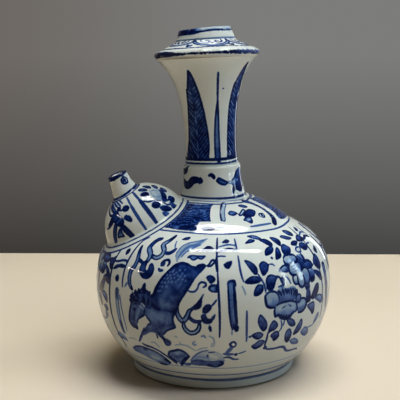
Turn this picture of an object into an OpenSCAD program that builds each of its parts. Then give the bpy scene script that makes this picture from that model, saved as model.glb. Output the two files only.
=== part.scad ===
// Kendi: a handleless porcelain pouring vessel, as the thrown and moulded sections that a
// potter lutes together with slip. Millimetres, Z up, origin under the middle of the foot,
// spout towards -X.

/* [Body] */
// Greatest radius of the body, outside
belly_r = 69.8; // [62:0.2:76]
// Height of the widest level, where the two halves of the body meet
belly_z = 50; // [44:0.5:56]
// Height of the flat seat cut for the neck at the top of the shoulder
shoulder_z = 102.5; // [96:0.5:110]
// How late the shoulder turns over: higher is squarer
shoulder_power = 2.7; // [2.2:0.05:3.2]
// Thickness of the body's wall
body_wall = 4; // [3:0.1:5]

/* [Foot] */
// Outside radius of the foot ring
foot_r = 49; // [42:0.5:54]
// Height at which the body springs from the foot ring
foot_h = 6.5; // [5:0.5:9]
// Width of the foot ring where it stands on the table
foot_wall = 5.5; // [4:0.5:9]
// Depth of the hollow under the base, inside the foot ring
foot_recess = 4.6; // [4.2:0.1:6]
// Thickness of the base
base_wall = 5; // [4:0.5:7]
// Bevel on the edges of the foot ring
foot_bevel = 0.6; // [0.3:0.1:1.2]

/* [Neck] */
// Outside radius of the neck where it is luted to the shoulder
neck_seat_r = 19; // [17:0.2:21]
// Radius of the hole in the shoulder and of the lower neck's bore
neck_bore_r = 12.8; // [11.4:0.2:13.6]
// Height of the lower section of the neck
lower_neck_h = 18.3; // [14:0.1:24]
// Outside radius of the ridge at the top of the lower section
ridge_r = 16.6; // [15.4:0.1:18]
// Bevel on the ridge
ridge_bevel = 0.4; // [0.2:0.1:0.8]
// Height of the upper section of the neck
upper_neck_h = 61.4; // [50:0.2:72]
// Outside radius of the upper section where it stands on the ridge
upper_foot_r = 15.4; // [14.9:0.1:16.4]
// Outside radius of the neck at its narrowest
waist_r = 14.8; // [13.8:0.1:15.8]
// Height of the narrowest level above the ridge
waist_up = 11; // [6:0.5:16]
// Share of the trumpet that opens slowly, the rest opens near the lip
flare_ease = 0.55; // [0.3:0.05:0.8]
// Thickness of the neck's wall
neck_wall = 3.2; // [2.6:0.1:3.8]
// Lean of the neck towards the spout, from the kiln, in degrees
neck_lean = 2.7; // [0:0.1:4]

/* [Mouth] */
// Radius of the sharp edge of the mouth flange
flange_r = 30.3; // [27:0.1:34]
// Height of the flange's edge
flange_edge = 2.6; // [2:0.1:4]
// Bevel on the flange's edge
flange_bevel = 0.8; // [0.4:0.1:1]
// Rise of the flange's cone from its edge to the collar
flange_rise = 6.2; // [5:0.1:9]
// Thickness of the flange at its throat
flange_wall = 3.3; // [2.6:0.1:4]
// Outside radius of the collar at its foot
collar_foot_r = 16.8; // [15.8:0.1:18]
// Outside radius of the collar at its rim
collar_rim_r = 15.1; // [14.5:0.1:15.8]
// Height of the collar
collar_h = 6.2; // [5:0.1:9]
// Radius of the bore through the collar and the flange's throat
collar_bore_r = 12; // [10.5:0.1:12.8]
// Bevel on the collar's rim
collar_bevel = 0.7; // [0.3:0.1:0.8]
// Further lean of the collar towards the spout, in degrees
collar_lean = 3; // [0:0.1:4]

/* [Spout] */
// Outside radius of the spout's bulb
bulb_r = 25; // [23:0.1:28]
// Depth of the bulb's centre below the neck's seat
bulb_drop = 16.5; // [14:0.1:19]
// Gap on the shoulder between the neck and the slip round the bulb's foot
bulb_gap = 0.5; // [0.3:0.1:3]
// Thickness of the bulb's wall
bulb_wall = 3; // [2.4:0.1:4]
// Tilt of the bulb's axis from upright, in degrees
bulb_tilt = 32.5; // [24:0.5:40]
// Radius of the hole pierced through the shoulder under the bulb
spout_hole_r = 7; // [5:0.5:9]
// Tilt of the nipple's axis from upright, in degrees
nipple_tilt = 23; // [16:0.5:34]
// Outside radius of the nipple where it stands on the bulb
nipple_foot_r = 7.2; // [6.6:0.1:8.5]
// Outside radius of the nipple at its rim
nipple_rim_r = 5.6; // [5:0.1:6.4]
// Height of the nipple above the bulb
nipple_h = 10.8; // [8:0.2:14]
// Radius of the nipple's bore
nipple_bore_r = 3; // [2.4:0.1:3.6]
// Bevel on the nipple's rim
nipple_bevel = 0.6; // [0.3:0.1:0.9]

/* [Luting] */
// Thickness of the slip between two sections
slip_t = 0.8; // [0.5:0.1:1.2]
// How far squeezed-out slip stands proud where no finger reached it
slip_bead = 1; // [0.4:0.1:1.5]

/* [Hidden] */
$fn = 96;

glaze_white = "#e4e6e0";
slip_grey = "#cfcdc4";
curve_steps = 26;
cove_steps = 8;

// Body: the shoulder is a power curve from the belly to the neck's seat, and the lower half
// is one arc, upright at the belly, that lands on the outer edge of the foot ring.
shoulder_rise = (shoulder_z - belly_z) / pow(1 - neck_seat_r / belly_r, 1 / shoulder_power);
foot_inset = belly_r - foot_r;
foot_drop = belly_z - foot_h;
lower_arc_r = (foot_inset * foot_inset + foot_drop * foot_drop) / (2 * foot_inset);
floor_z = foot_recess + base_wall;
seam_low_z = belly_z - slip_t / 2;
seam_high_z = belly_z + slip_t / 2;
ceiling_z = shoulder_z - body_wall;

// Neck: heights of its joints before it leans
neck_z = shoulder_z + slip_t;
ridge_z = neck_z + lower_neck_h;
upper_z = ridge_z + slip_t;
upper_top_z = upper_z + upper_neck_h;
flange_z = upper_top_z + slip_t;
cone_z = flange_z + flange_edge;
flange_top_z = cone_z + flange_rise;
collar_z = flange_top_z + slip_t;
collar_top_z = collar_z + collar_h;
neck_top_r = flange_r - flange_bevel;
flare_slope = (neck_top_r - waist_r) * (2 * flare_ease + 6 * (1 - flare_ease)) / (upper_neck_h - waist_up);
flange_seat_w = neck_wall * sqrt(1 + flare_slope * flare_slope);
lower_bore_top_r = min(neck_bore_r, ridge_r - neck_wall);
lean_cut = 4;

// Spout: the bulb's foot clears the neck by the gap, at the level of the neck's seat, and the
// nipple is turned with a root that is then trimmed to the bulb
bulb_z = shoulder_z - bulb_drop;
bulb_x = -(neck_seat_r + bulb_gap + sqrt(pow(bulb_r + slip_bead, 2) - pow(bulb_drop, 2)));
nipple_root = bulb_r / 2;

// Outside radius of the body at height z, grown by a thickness
function shoulder_r(z, grow) =
    (belly_r + grow) * (1 - pow((z - belly_z) / (shoulder_rise + grow), shoulder_power));
function lower_r(z, grow) =
    belly_r - lower_arc_r + sqrt(pow(lower_arc_r + grow, 2) - pow(belly_z - z, 2));
function mix(a, b, t) = a + (b - a) * t;
function shoulder_curve(from_z, to_z, grow) =
    [for (i = [0:curve_steps]) let (z = mix(from_z, to_z, i / curve_steps)) [shoulder_r(z, grow), z]];
function lower_curve(from_z, to_z, grow) =
    [for (i = [0:curve_steps]) let (z = mix(from_z, to_z, i / curve_steps)) [lower_r(z, grow), z]];

// A hollow curve that leaves one radius at a slant and reaches the next one upright
function cove(from_r, to_r, from_z, to_z) =
    [for (i = [0:cove_steps]) let (u = i / cove_steps)
        [to_r + (from_r - to_r) * pow(1 - u, 2), mix(from_z, to_z, u)]];

// Outside of the trumpet at a height above the ridge: a cove below the waist, a flare above it
function flare(s) = flare_ease * pow(s, 2) + (1 - flare_ease) * pow(s, 6);
function trumpet_r(up, foot, waist, top) = up < waist_up
    ? waist + (foot - waist) * pow(1 - up / waist_up, 2)
    : waist + (top - waist) * flare((up - waist_up) / (upper_neck_h - waist_up));
function trumpet(foot, waist, top) =
    [for (i = [0:curve_steps]) let (up = upper_neck_h * i / curve_steps)
        [trumpet_r(up, foot, waist, top), upper_z + up]];
function reversed(list) = [for (i = [len(list) - 1:-1:0]) list[i]];

module lean_neck() {
    translate([0, 0, neck_z]) rotate([0, -neck_lean, 0]) translate([0, 0, -neck_z]) children();
}

module lean_collar() {
    translate([0, 0, collar_z]) rotate([0, -collar_lean, 0]) translate([0, 0, -collar_z]) children();
}

module at_bulb(tilt) {
    translate([bulb_x, 0, bulb_z]) rotate([0, -tilt, 0]) children();
}

// The nipple's own frame: it stands where the bulb's axis leaves the bulb
module at_nipple() {
    at_bulb(bulb_tilt) translate([0, 0, bulb_r]) rotate([0, bulb_tilt - nipple_tilt, 0]) children();
}

// A slab that trims the foot of a leaning section flat at height z
module trim_below(z, r) {
    translate([0, 0, z - lean_cut]) cube([4 * r, 4 * r, 2 * lean_cut], center = true);
}

module ring(inner, outer, z, height) {
    rotate_extrude() translate([inner, z]) square([outer - inner, height]);
}

// The body as a solid lump, grown by a thickness, to fit the spout to
module body_lump(grow) {
    top_z = belly_z + (shoulder_rise + grow)
        * pow(1 - neck_seat_r / (belly_r + grow), 1 / shoulder_power);
    rotate_extrude() polygon(concat(
        [[0, floor_z]],
        lower_curve(floor_z, belly_z - slip_t, grow),
        shoulder_curve(belly_z, top_z, grow),
        [[0, top_z]]
    ));
}

// The bulb's wall, with slip standing proud of it on both sides
module bulb_shell(proud) {
    translate([bulb_x, 0, bulb_z]) difference() {
        sphere(bulb_r + proud);
        sphere(bulb_r - bulb_wall - proud);
    }
}

module nipple_bore() {
    at_nipple() translate([0, 0, -nipple_root]) cylinder(r = nipple_bore_r, h = nipple_h + 2 * nipple_root);
}

// The nipple's turned outside, from its root inside the bulb to the rim
module nipple_form() {
    at_nipple() rotate_extrude() polygon(concat(
        [[0, -nipple_root], [nipple_foot_r, -nipple_root]],
        cove(nipple_foot_r, nipple_rim_r, 0, nipple_h - nipple_bevel),
        [[nipple_rim_r - nipple_bevel, nipple_h], [0, nipple_h]]
    ));
}

// Lower half of the body, with the foot ring turned in its base
module lower_body() {
    color(glaze_white) rotate_extrude() polygon(concat(
        lower_curve(seam_low_z, foot_h, 0),
        [
            [foot_r, foot_bevel],
            [foot_r - foot_bevel, 0],
            [foot_r - foot_wall + foot_bevel, 0],
            [foot_r - foot_wall, foot_bevel],
            [foot_r - foot_wall, foot_recess],
            [0, foot_recess],
            [0, floor_z]
        ],
        lower_curve(floor_z, seam_low_z, -body_wall)
    ));
}

// Upper half of the body, cut for the neck and pierced for the spout
module upper_body() {
    color(glaze_white) difference() {
        rotate_extrude() polygon(concat(
            shoulder_curve(seam_high_z, shoulder_z, 0),
            [[neck_bore_r, shoulder_z], [neck_bore_r, ceiling_z]],
            shoulder_curve(ceiling_z, seam_high_z, -body_wall)
        ));
        at_bulb(bulb_tilt) cylinder(r = spout_hole_r, h = 2 * bulb_r, center = true);
    }
}

// Lower section of the neck, up to its ridge
module lower_neck() {
    color(glaze_white) difference() {
        lean_neck() rotate_extrude() polygon(concat(
            [[neck_bore_r, neck_z - lean_cut], [neck_seat_r, neck_z - lean_cut]],
            cove(neck_seat_r, ridge_r, neck_z, ridge_z - ridge_bevel),
            [
                [ridge_r - ridge_bevel, ridge_z],
                [lower_bore_top_r, ridge_z],
                [lower_bore_top_r, (neck_z + ridge_z) / 2]
            ]
        ));
        trim_below(neck_z, neck_seat_r);
    }
}

// Upper section of the neck, a trumpet up to the mouth flange
module upper_neck() {
    bore_foot_r = min(upper_foot_r - neck_wall, lower_bore_top_r);
    color(glaze_white) lean_neck() rotate_extrude() polygon(concat(
        trumpet(upper_foot_r, waist_r, neck_top_r),
        reversed(trumpet(bore_foot_r, waist_r - neck_wall, neck_top_r - flange_seat_w))
    ));
}

// Conical cap that closes the trumpet in to the collar
module mouth_flange() {
    color(glaze_white) lean_neck() rotate_extrude() polygon([
        [neck_top_r - flange_seat_w, flange_z],
        [neck_top_r, flange_z],
        [flange_r, flange_z + flange_bevel],
        [flange_r, cone_z - flange_bevel],
        [flange_r - flange_bevel, cone_z],
        [collar_foot_r, flange_top_z],
        [collar_bore_r, flange_top_z],
        [collar_bore_r, flange_top_z - flange_wall]
    ]);
}

// Short collar at the mouth
module mouth_collar() {
    color(glaze_white) lean_neck() difference() {
        lean_collar() rotate_extrude() polygon([
            [collar_bore_r, collar_z - lean_cut],
            [collar_foot_r, collar_z - lean_cut],
            [collar_foot_r, collar_z],
            [collar_rim_r, collar_top_z - collar_bevel],
            [collar_rim_r - collar_bevel, collar_top_z],
            [collar_bore_r + collar_bevel, collar_top_z],
            [collar_bore_r, collar_top_z - collar_bevel]
        ]);
        trim_below(collar_z, collar_foot_r);
    }
}

// Swelling bulb of the spout, trimmed to the shoulder
module spout_bulb() {
    color(glaze_white) difference() {
        bulb_shell(0);
        body_lump(slip_t);
        nipple_bore();
    }
}

// Nipple that the drink pours from
module spout_nipple() {
    color(glaze_white) difference() {
        nipple_form();
        nipple_bore();
        translate([bulb_x, 0, bulb_z]) sphere(bulb_r + slip_t);
    }
}

// Slip between the two halves of the body
module waist_slip() {
    color(slip_grey) ring(belly_r - body_wall - slip_bead, belly_r, seam_low_z, slip_t);
}

// Slip between the shoulder and the neck
module neck_slip() {
    color(slip_grey) ring(neck_bore_r - slip_bead, neck_seat_r, shoulder_z, slip_t);
}

// Slip between the two sections of the neck
module ridge_slip() {
    outer_r = min(ridge_r - ridge_bevel, upper_foot_r);
    color(slip_grey) lean_neck() ring(lower_bore_top_r, outer_r, ridge_z, slip_t);
}

// Slip between the trumpet and the mouth flange
module flange_slip() {
    color(slip_grey) lean_neck() ring(neck_top_r - flange_seat_w, neck_top_r, upper_top_z, slip_t);
}

// Slip between the flange and the collar
module collar_slip() {
    color(slip_grey) lean_neck() ring(collar_bore_r, collar_foot_r, flange_top_z, slip_t);
}

// Slip between the shoulder and the spout's bulb
module spout_slip() {
    color(slip_grey) difference() {
        intersection() {
            bulb_shell(slip_bead);
            body_lump(slip_t);
        }
        body_lump(0);
    }
}

// Slip between the bulb and the nipple
module nipple_slip() {
    color(slip_grey) difference() {
        intersection() {
            nipple_form();
            translate([bulb_x, 0, bulb_z]) sphere(bulb_r + slip_t);
        }
        translate([bulb_x, 0, bulb_z]) sphere(bulb_r);
        nipple_bore();
    }
}

lower_body();
upper_body();
lower_neck();
upper_neck();
mouth_flange();
mouth_collar();
spout_bulb();
spout_nipple();
waist_slip();
neck_slip();
ridge_slip();
flange_slip();
collar_slip();
spout_slip();
nipple_slip();
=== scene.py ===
# A kendi: thrown sections of porcelain, luted together, painted in cobalt under one clear glaze
import math

import bpy
import numpy as np
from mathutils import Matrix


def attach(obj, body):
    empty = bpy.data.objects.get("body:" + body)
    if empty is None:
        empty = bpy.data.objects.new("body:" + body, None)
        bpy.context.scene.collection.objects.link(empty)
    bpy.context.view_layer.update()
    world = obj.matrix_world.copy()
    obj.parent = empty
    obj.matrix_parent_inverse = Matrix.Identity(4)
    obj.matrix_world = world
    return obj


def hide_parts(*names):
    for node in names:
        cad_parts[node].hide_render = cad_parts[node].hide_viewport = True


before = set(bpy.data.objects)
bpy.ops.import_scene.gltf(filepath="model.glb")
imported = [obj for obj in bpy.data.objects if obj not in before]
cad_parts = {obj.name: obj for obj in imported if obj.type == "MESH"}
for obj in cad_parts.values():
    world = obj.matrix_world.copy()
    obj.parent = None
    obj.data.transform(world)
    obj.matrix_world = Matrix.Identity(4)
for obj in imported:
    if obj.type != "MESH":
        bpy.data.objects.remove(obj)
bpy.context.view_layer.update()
scene = bpy.context.scene
scene.view_settings.view_transform = "Standard"
mm = 0.001

# the photograph's view, in mm and degrees; front is the turn from the X axis to the painter's front
view = {"far": 513, "up": 185.1, "turn": 12, "aside": 0.88, "pitch": 9.434, "lens": 78.5,
        "film": 36, "front": 102}
glazeT = 0.2  # thickness of the glaze over the clay, mm
lapT = 0.03  # how far a hidden edge stands out of the clay at a joint, mm


def note(stage):
    print("kendi:", stage)


# curves

def smooth(t):
    t = np.clip(t, 0, 1)
    return t * t * (3 - 2 * t)


def swell(x, start, rising, end, falling):
    # climbs from nothing to one, and falls back again further on
    return smooth((x - start) / rising) * (1 - smooth((x - end) / falling))


def bump(x, middle, wide):
    # one at the middle, falling in straight lines to nothing
    return np.clip(1 - np.abs(x - middle) / wide, 0, 1)


def round360(count):
    return np.linspace(0, 2 * math.pi, count, endpoint=False)


def around(angle, centre):
    return (angle - centre + 180) % 360 - 180


def facing(points):
    # angle round an upright piece from the painter's front, to the right, in degrees
    return around(np.degrees(np.arctan2(points[..., 1], points[..., 0])), -view["front"])


def measured(points):
    # angle, height and radius of every point, each in one long row
    return facing(points).ravel(), points[..., 2].ravel(), np.hypot(points[..., 0], points[..., 1]).ravel()


def sideways(angle, centre, radius):
    # mm round a piece from the middle of a motif
    return np.radians(around(angle, centre)) * radius


def waver(angle, *waves):
    # an unsteady hand: each wave has a height in mm, a number to the round and a start in degrees
    return sum(high * np.sin(np.radians(count * angle + start)) for high, count, start in waves)


def coveR(u, foot, top):
    return top + (foot - top) * (1 - u) ** 2


# meshes

def soften(points, step, ease):
    # resample a turned outline evenly and ease its corners, as a coat of glaze does
    p, tick = np.array(points, float), 0.1
    run = np.concatenate([[0], np.cumsum(np.hypot(*np.diff(p, axis=0).T))])
    fine = np.arange(0, run[-1], tick)
    q = np.stack([np.interp(fine, run, p[:, k]) for k in (0, 1)], 1)
    reach = int(3 / tick * ease)
    bell = np.exp(-0.5 * (np.arange(-reach, reach + 1) * tick / ease) ** 2)
    padded = np.concatenate([2 * q[0] - q[reach:0:-1], q, 2 * q[-1] - q[-2:-reach - 2:-1]])
    q = np.stack([np.convolve(padded[:, k], bell / bell.sum(), "valid") for k in (0, 1)], 1)
    at = np.linspace(0, fine[-1], max(3, round(run[-1] / step) + 1))
    return np.stack([np.interp(at, fine, q[:, k]) for k in (0, 1)], 1)


def wobble(turn, z):
    # what the thrower's hands leave: a slightly uneven round and faint throwing rings
    uneven = 0.11 * np.sin(2 * turn + 0.4 + z / 60) + 0.07 * np.sin(3 * turn + 1.9 - z / 45)
    return uneven + 0.035 * np.sin(z * 0.95 + 0.8 * np.sin(turn)) + 0.03 * np.sin(5 * turn + z / 18)


def turned(rows, columns):
    turn = round360(columns)[None, :]
    r, z = (np.asarray(rows)[:, k][:, None] for k in (0, 1))
    r = r + wobble(turn, z) * np.clip(r / 12, 0, 1)  # steady near the axis
    return np.stack([r * np.cos(turn), r * np.sin(turn), z + 0 * turn], 2)


def tipped(points, pivotZ, angle):
    # lean towards the spout about a level line at a height; the angle may differ from row to row
    a = np.radians(np.asarray(angle, float))
    a = a[:, None] if a.ndim else a
    x, z = points[..., 0], points[..., 2] - pivotZ
    up = x * np.sin(a) + z * np.cos(a) + pivotZ
    return np.stack([x * np.cos(a) - z * np.sin(a), points[..., 1], up], 2)


def corners(*pairs):
    # the texture places of each face, corner by corner
    return np.stack([np.stack(np.broadcast_arrays(u, v), -1) for u, v in pairs], -2).reshape(-1, 2)


def clayPiece(name, points, sharp=(), loop=True):
    # rows of points become one closed skin: a loop of rows, or rows capped at both ends on the axis
    rows, columns = points.shape[:2]
    verts = points.reshape(-1, 3)
    here = np.arange(columns)
    beside = (here + 1) % columns
    spans = rows if loop else rows - 1
    low = (np.arange(spans) * columns)[:, None]
    high = ((np.arange(spans) + 1) % rows * columns)[:, None]
    faces = np.stack([low + here, low + beside, high + beside, high + here], 2).reshape(-1, 4).tolist()
    u0, u1, share = here / columns, (here + 1) / columns, 1 / (spans + 2)
    v0 = (np.arange(spans) * share + share)[:, None]
    v1 = v0 + share
    uv = [corners((u0, v0), (u1, v0), (u1, v1), (u0, v1))]
    if not loop:
        end, last, mid = len(verts), (rows - 1) * columns, (u0 + u1) / 2
        verts = np.concatenate([verts, points[:1].mean(1), points[-1:].mean(1)])
        faces += np.stack([np.full(columns, end), beside, here], 1).tolist()
        faces += np.stack([last + here, last + beside, np.full(columns, end + 1)], 1).tolist()
        uv.append(corners((mid, 0), (u1, v0[0]), (u0, v0[0])))
        uv.append(corners((u0, v1[-1]), (u1, v1[-1]), (mid, 1)))
    mesh = bpy.data.meshes.new(name)
    mesh.from_pydata((verts * mm).tolist(), [], faces)
    mesh.uv_layers.new(name="OFBake").data.foreach_set("uv", np.concatenate(uv).astype(np.float32).ravel())
    mesh.shade_smooth()
    ends = np.zeros(len(mesh.edges) * 2, np.int32)
    mesh.edges.foreach_get("vertices", ends)
    row = ends.reshape(-1, 2) // columns
    crisp = (row[:, 0] == row[:, 1]) & np.isin(row[:, 0], [s % rows for s in sharp])
    mesh.attributes.new("sharp_edge", "BOOLEAN", "EDGE").data.foreach_set("value", crisp)
    piece = bpy.data.objects.new(name, mesh)
    scene.collection.objects.link(piece)
    return piece


# brushwork, in mm: a run is a row of points, and a motif lists runs with how wide and how dark they are

unpainted = 9.0  # gap where no paint is near
# what is kept at every point of a piece
painted = ("lineGap", "lineTone", "washGap", "washTone", "hatch", "worn", "bare", "pool")
usualSettle = 0.22  # how much darker a wash ends at its lower edge than at its upper one
rimStroke = {"wash": 0.45, "band": 0.42, "inside": 0.35}  # half widths of an outline, and how far in it lies


def parse(run):
    return np.array([[float(n) for n in pair.split(",")] for pair in run.split()])


def flow(run, closed=False, step=0.8):
    # a smooth hand-drawn run through the points
    p = parse(run) if isinstance(run, str) else np.asarray(run, float)
    if closed:
        p = np.concatenate([p[-1:], p, p[:2]])
    else:
        p = np.concatenate([2 * p[:1] - p[1:2], p, 2 * p[-1:] - p[-2:-1]])
    out = []
    for a, b, c, d in zip(p[:-3], p[1:-2], p[2:-1], p[3:]):
        t = np.arange(0, 1, 1 / max(2, math.ceil(np.hypot(*(c - b)) / step)))[:, None]
        bend = 2 * b + (c - a) * t + (2 * a - 5 * b + 4 * c - d) * t ** 2 + (3 * b - a - 3 * c + d) * t ** 3
        out.append(bend / 2)
    return np.concatenate(out if closed else out + [p[-2:-1]])


class Brush:
    # holds, for every point of a piece, the gap to the nearest painted edge and how dark the paint is
    def __init__(self, count):
        self.lineGap, self.washGap = np.full(count, unpainted), np.full(count, unpainted)
        self.lineTone, self.washTone = np.zeros(count), np.zeros(count)
        self.hatch, self.worn, self.bare, self.pool = (np.zeros(count) for k in range(4))

    def aim(self, x, y, limit, hand=0.0, seed=0):
        # choose the points near a motif, in its own mm, with a little of the painter's unsteadiness
        a, b, c = np.random.default_rng(seed).uniform(0, 6.28, 3)
        self.pick = np.flatnonzero((np.abs(x) < limit) & np.isfinite(y))
        x, y = x[self.pick], y[self.pick]
        self.x = x + hand * (0.7 * np.sin(0.13 * y + a) + 0.5 * np.sin(0.21 * x + b))
        self.y = y + hand * (0.6 * np.sin(0.15 * x + c) + 0.3 * np.sin(0.27 * y + a))

    def near(self, p, reach):
        lo, hi = p.min(0) - reach, p.max(0) + reach
        return np.flatnonzero((self.x > lo[0]) & (self.x < hi[0]) & (self.y > lo[1]) & (self.y < hi[1]))

    def toRun(self, near, p, wide):
        # gap from points to the edge of a stroke whose width is given along its run
        x, y = self.x[near][:, None], self.y[near][:, None]
        a, d = p[:-1], np.diff(p, axis=0)
        t = ((x - a[:, 0]) * d[:, 0] + (y - a[:, 1]) * d[:, 1]) / np.maximum((d ** 2).sum(1), 1e-9)
        t = np.clip(t, 0, 1)
        off = np.hypot(x - a[:, 0] - t * d[:, 0], y - a[:, 1] - t * d[:, 1])
        return (off - (wide[:-1] + t * np.diff(wide)) / 2).min(1)

    def fill(self, at, gap, tone):
        # lay a wash, melting into an older one along its edge
        w = np.clip(0.5 - gap / 0.8, 0, 1)
        older = self.washGap[at] < 0.4
        keep = np.where(older, self.washTone[at] * (1 - w) + tone * w, tone)
        closer = (gap < self.washGap[at]) | (w > 0)
        self.washTone[at] = np.where(closer, keep, self.washTone[at])
        self.washGap[at] = np.minimum(self.washGap[at], gap)

    def ink(self, at, gap, tone):
        closer = gap < self.lineGap[at]
        self.lineTone[at] = np.where(closer, tone, self.lineTone[at])
        self.lineGap[at] = np.minimum(self.lineGap[at], gap)

    def ring(self, at, off, wide, tone):
        self.ink(at, np.abs(off)[at] - wide / 2, tone)

    def outline(self, kind, at, gap, rim):
        if rim:
            self.ink(at, np.abs(gap + rimStroke["inside"]) - rimStroke[kind], rim)

    def wipe(self, at, line, wash):
        # keep a strip clear of what was painted before
        self.lineGap[at] = np.maximum(self.lineGap[at], line)
        self.washGap[at] = np.maximum(self.washGap[at], wash)

    def pressed(self, run, wide, light, ease):
        # the points near a stroke and their gaps to its edge; the brush starts and ends light
        p = flow(run)
        near = self.near(p, wide + 1.5)
        press = light + (1 - light) * np.sin(math.pi * np.linspace(0, 1, len(p))) ** ease
        return self.pick[near], self.toRun(near, p, wide * press)

    def wash(self, run, tone, rim):
        p = flow(run, True)
        near = self.near(p, 2.0)
        at = self.pick[near]
        q = np.concatenate([p, p[:1]])
        edge = self.toRun(near, q, np.zeros(len(q)))
        x, y = self.x[near][:, None], self.y[near][:, None]
        y0, y1 = q[:-1, 1], q[1:, 1]
        cross = q[:-1, 0] + (y - y0) / np.where(y1 == y0, 1e-9, y1 - y0) * np.diff(q[:, 0])
        inside = (((y0 > y) != (y1 > y)) & (x < cross)).sum(1) % 2 == 1
        gap = np.where(inside, -edge, edge)
        low, high = p[:, 1].min(), p[:, 1].max()
        # pigment sinks to the lower edge
        settled = self.settle * ((high - self.y[near]) / (high - low) - 0.5)
        self.fill(at, gap, np.clip(tone + settled, 0.05, 1))
        self.outline("wash", at, gap, rim)

    def band(self, run, wide, tone, rim):
        at, gap = self.pressed(run, wide, 0.45, 0.5)
        self.fill(at, gap, tone)
        self.outline("band", at, gap, rim)

    def line(self, run, wide, tone):
        at, gap = self.pressed(run, wide, 0.62, 0.6)
        self.ink(at, gap, tone)

    def shade(self, run, tone, wide):
        # a soft stroke of paler or darker pigment within what is already washed
        p = flow(run)
        near = self.near(p, wide)
        at = self.pick[near]
        soft = np.exp(-(2 * self.toRun(near, p, np.zeros(len(p))) / wide) ** 2) * (self.washGap[at] < 0.6)
        self.washTone[at] += (tone - self.washTone[at]) * soft

    def dab(self, spots, tone, wide):
        for spot in parse(spots):
            self.shade([spot, spot + 0.1], tone, wide)

    def paint(self, motif):
        self.settle = motif.get("settle", usualSettle)
        for kind in ("wash", "band", "shade", "dab", "line"):
            for *look, runs in motif.get(kind, ()):
                for run in runs.split("/"):
                    getattr(self, kind)(run, *look)

    def store(self, piece):
        mesh = piece.data
        for name in painted:
            mine = getattr(self, name)
            # the caps' middles take the last value
            values = np.full(len(mesh.vertices), mine[-1], np.float32)
            values[:len(mine)] = mine
            mesh.attributes.new(name, "FLOAT", "POINT").data.foreach_set("value", values)


# glaze and slip

class Wire:
    # a socket of a shader, reckoned with as a number is
    def __init__(self, finish, socket):
        self.finish, self.socket = finish, socket

    def sum(self, operation, a, b):
        return self.finish.add("ShaderNodeMath", {"operation": operation}, {0: a, 1: b})

    def __add__(self, other):
        return self.sum("ADD", self, other)

    def __sub__(self, other):
        return self.sum("SUBTRACT", self, other)

    def __rsub__(self, other):
        return self.sum("SUBTRACT", other, self)

    def __mul__(self, other):
        return self.sum("MULTIPLY", self, other)

    def __gt__(self, other):
        return self.sum("GREATER_THAN", self, other)

    def over(self, other):
        return self.sum("MAXIMUM", self, other)

    __radd__ = __add__
    __rmul__ = __mul__


class Finish:
    # the nodes of one material, or of the world
    def __init__(self, owner):
        owner.use_nodes = True
        self.tree = owner.node_tree

    def feed(self, node, sockets):
        for key, value in sockets.items():
            if isinstance(value, Wire):
                self.tree.links.new(value.socket, node.inputs[key])
            else:
                node.inputs[key].default_value = value

    def add(self, kind, settings, sockets, out=0):
        node = self.tree.nodes.new(kind)
        for key, value in settings.items():
            if key == "stops":
                ramp = node.color_ramp
                while len(ramp.elements) < len(value):
                    ramp.elements.new(0.5)
                for element, (at, colour) in zip(ramp.elements, value):
                    element.position = at
                    element.color = (*colour, 1)
            else:
                setattr(node, key, value)
        self.feed(node, sockets)
        return Wire(self, node.outputs[out])

    def place(self, kind="Object"):
        return self.add("ShaderNodeTexCoord", {}, {}, kind)

    def height(self, place):
        return self.add("ShaderNodeSeparateXYZ", {}, {"Vector": place}, "Z")

    def stored(self, name):
        return self.add("ShaderNodeAttribute", {"attribute_name": name}, {}, "Fac")

    def noise(self, place, scale, detail=2.0, rough=0.5):
        sockets = {"Vector": place, "Scale": scale, "Detail": detail, "Roughness": rough}
        return self.add("ShaderNodeTexNoise", {}, sockets)

    def scale(self, value, start, end, curve="SMOOTHSTEP"):
        sockets = {"Value": value, "From Min": start, "From Max": end, "To Min": 0.0, "To Max": 1.0}
        return self.add("ShaderNodeMapRange", {"interpolation_type": curve}, sockets)

    def blend(self, amount, a, b, way="MIX"):
        settings = {"data_type": "RGBA", "blend_type": way}
        return self.add("ShaderNodeMix", settings, {"Factor": amount, 6: a, 7: b}, 2)

    def ripple(self, strength, distance, height):
        return self.add("ShaderNodeBump", {}, {"Strength": strength, "Distance": distance, "Height": height})

    def dress(self, sockets):
        self.feed(self.tree.nodes["Principled BSDF"], sockets)


glaze = {
    # cobalt, from bare ground to the darkest pool
    "cobalt": [
        (0.0, (0.635, 0.655, 0.61)), (0.16, (0.46, 0.51, 0.53)), (0.34, (0.22, 0.315, 0.43)),
        (0.52, (0.078, 0.162, 0.375)), (0.70, (0.017, 0.059, 0.225)), (0.86, (0.002, 0.018, 0.122)),
        (1.0, (0.001, 0.005, 0.046)),
    ],
    # low is a painted shade colour: the grey the body is darkened to towards the bottom
    "pool": (0.42, 0.50, 0.47, 1), "low": (0.305, 0.315, 0.295, 1), "biscuit": (0.56, 0.43, 0.29, 1),
    "speck": (0.10, 0.055, 0.03, 1), "footDark": (0.05, 0.03, 0.012, 1),
    "gloss": 0.02, "dry": 0.8, "index": 1.5, "sheen": 0.065, "coat": 0.32,
    "orangePeel": 0.06, "peelDeep": 0.002,
    # noises: scale to the metre, detail and roughness
    "grain": (900.0, 3.0), "mottle": (230.0, 3.0, 0.6), "cloud": (38.0, 3.0), "peel": (420.0, 2.0),
    "flakes": (620.0, 4.0, 0.7), "specks": 70.0,
    "waves": {"Scale": 165.0, "Distortion": 11.0, "Detail": 2.0, "Detail Scale": 1.4},
}


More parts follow.
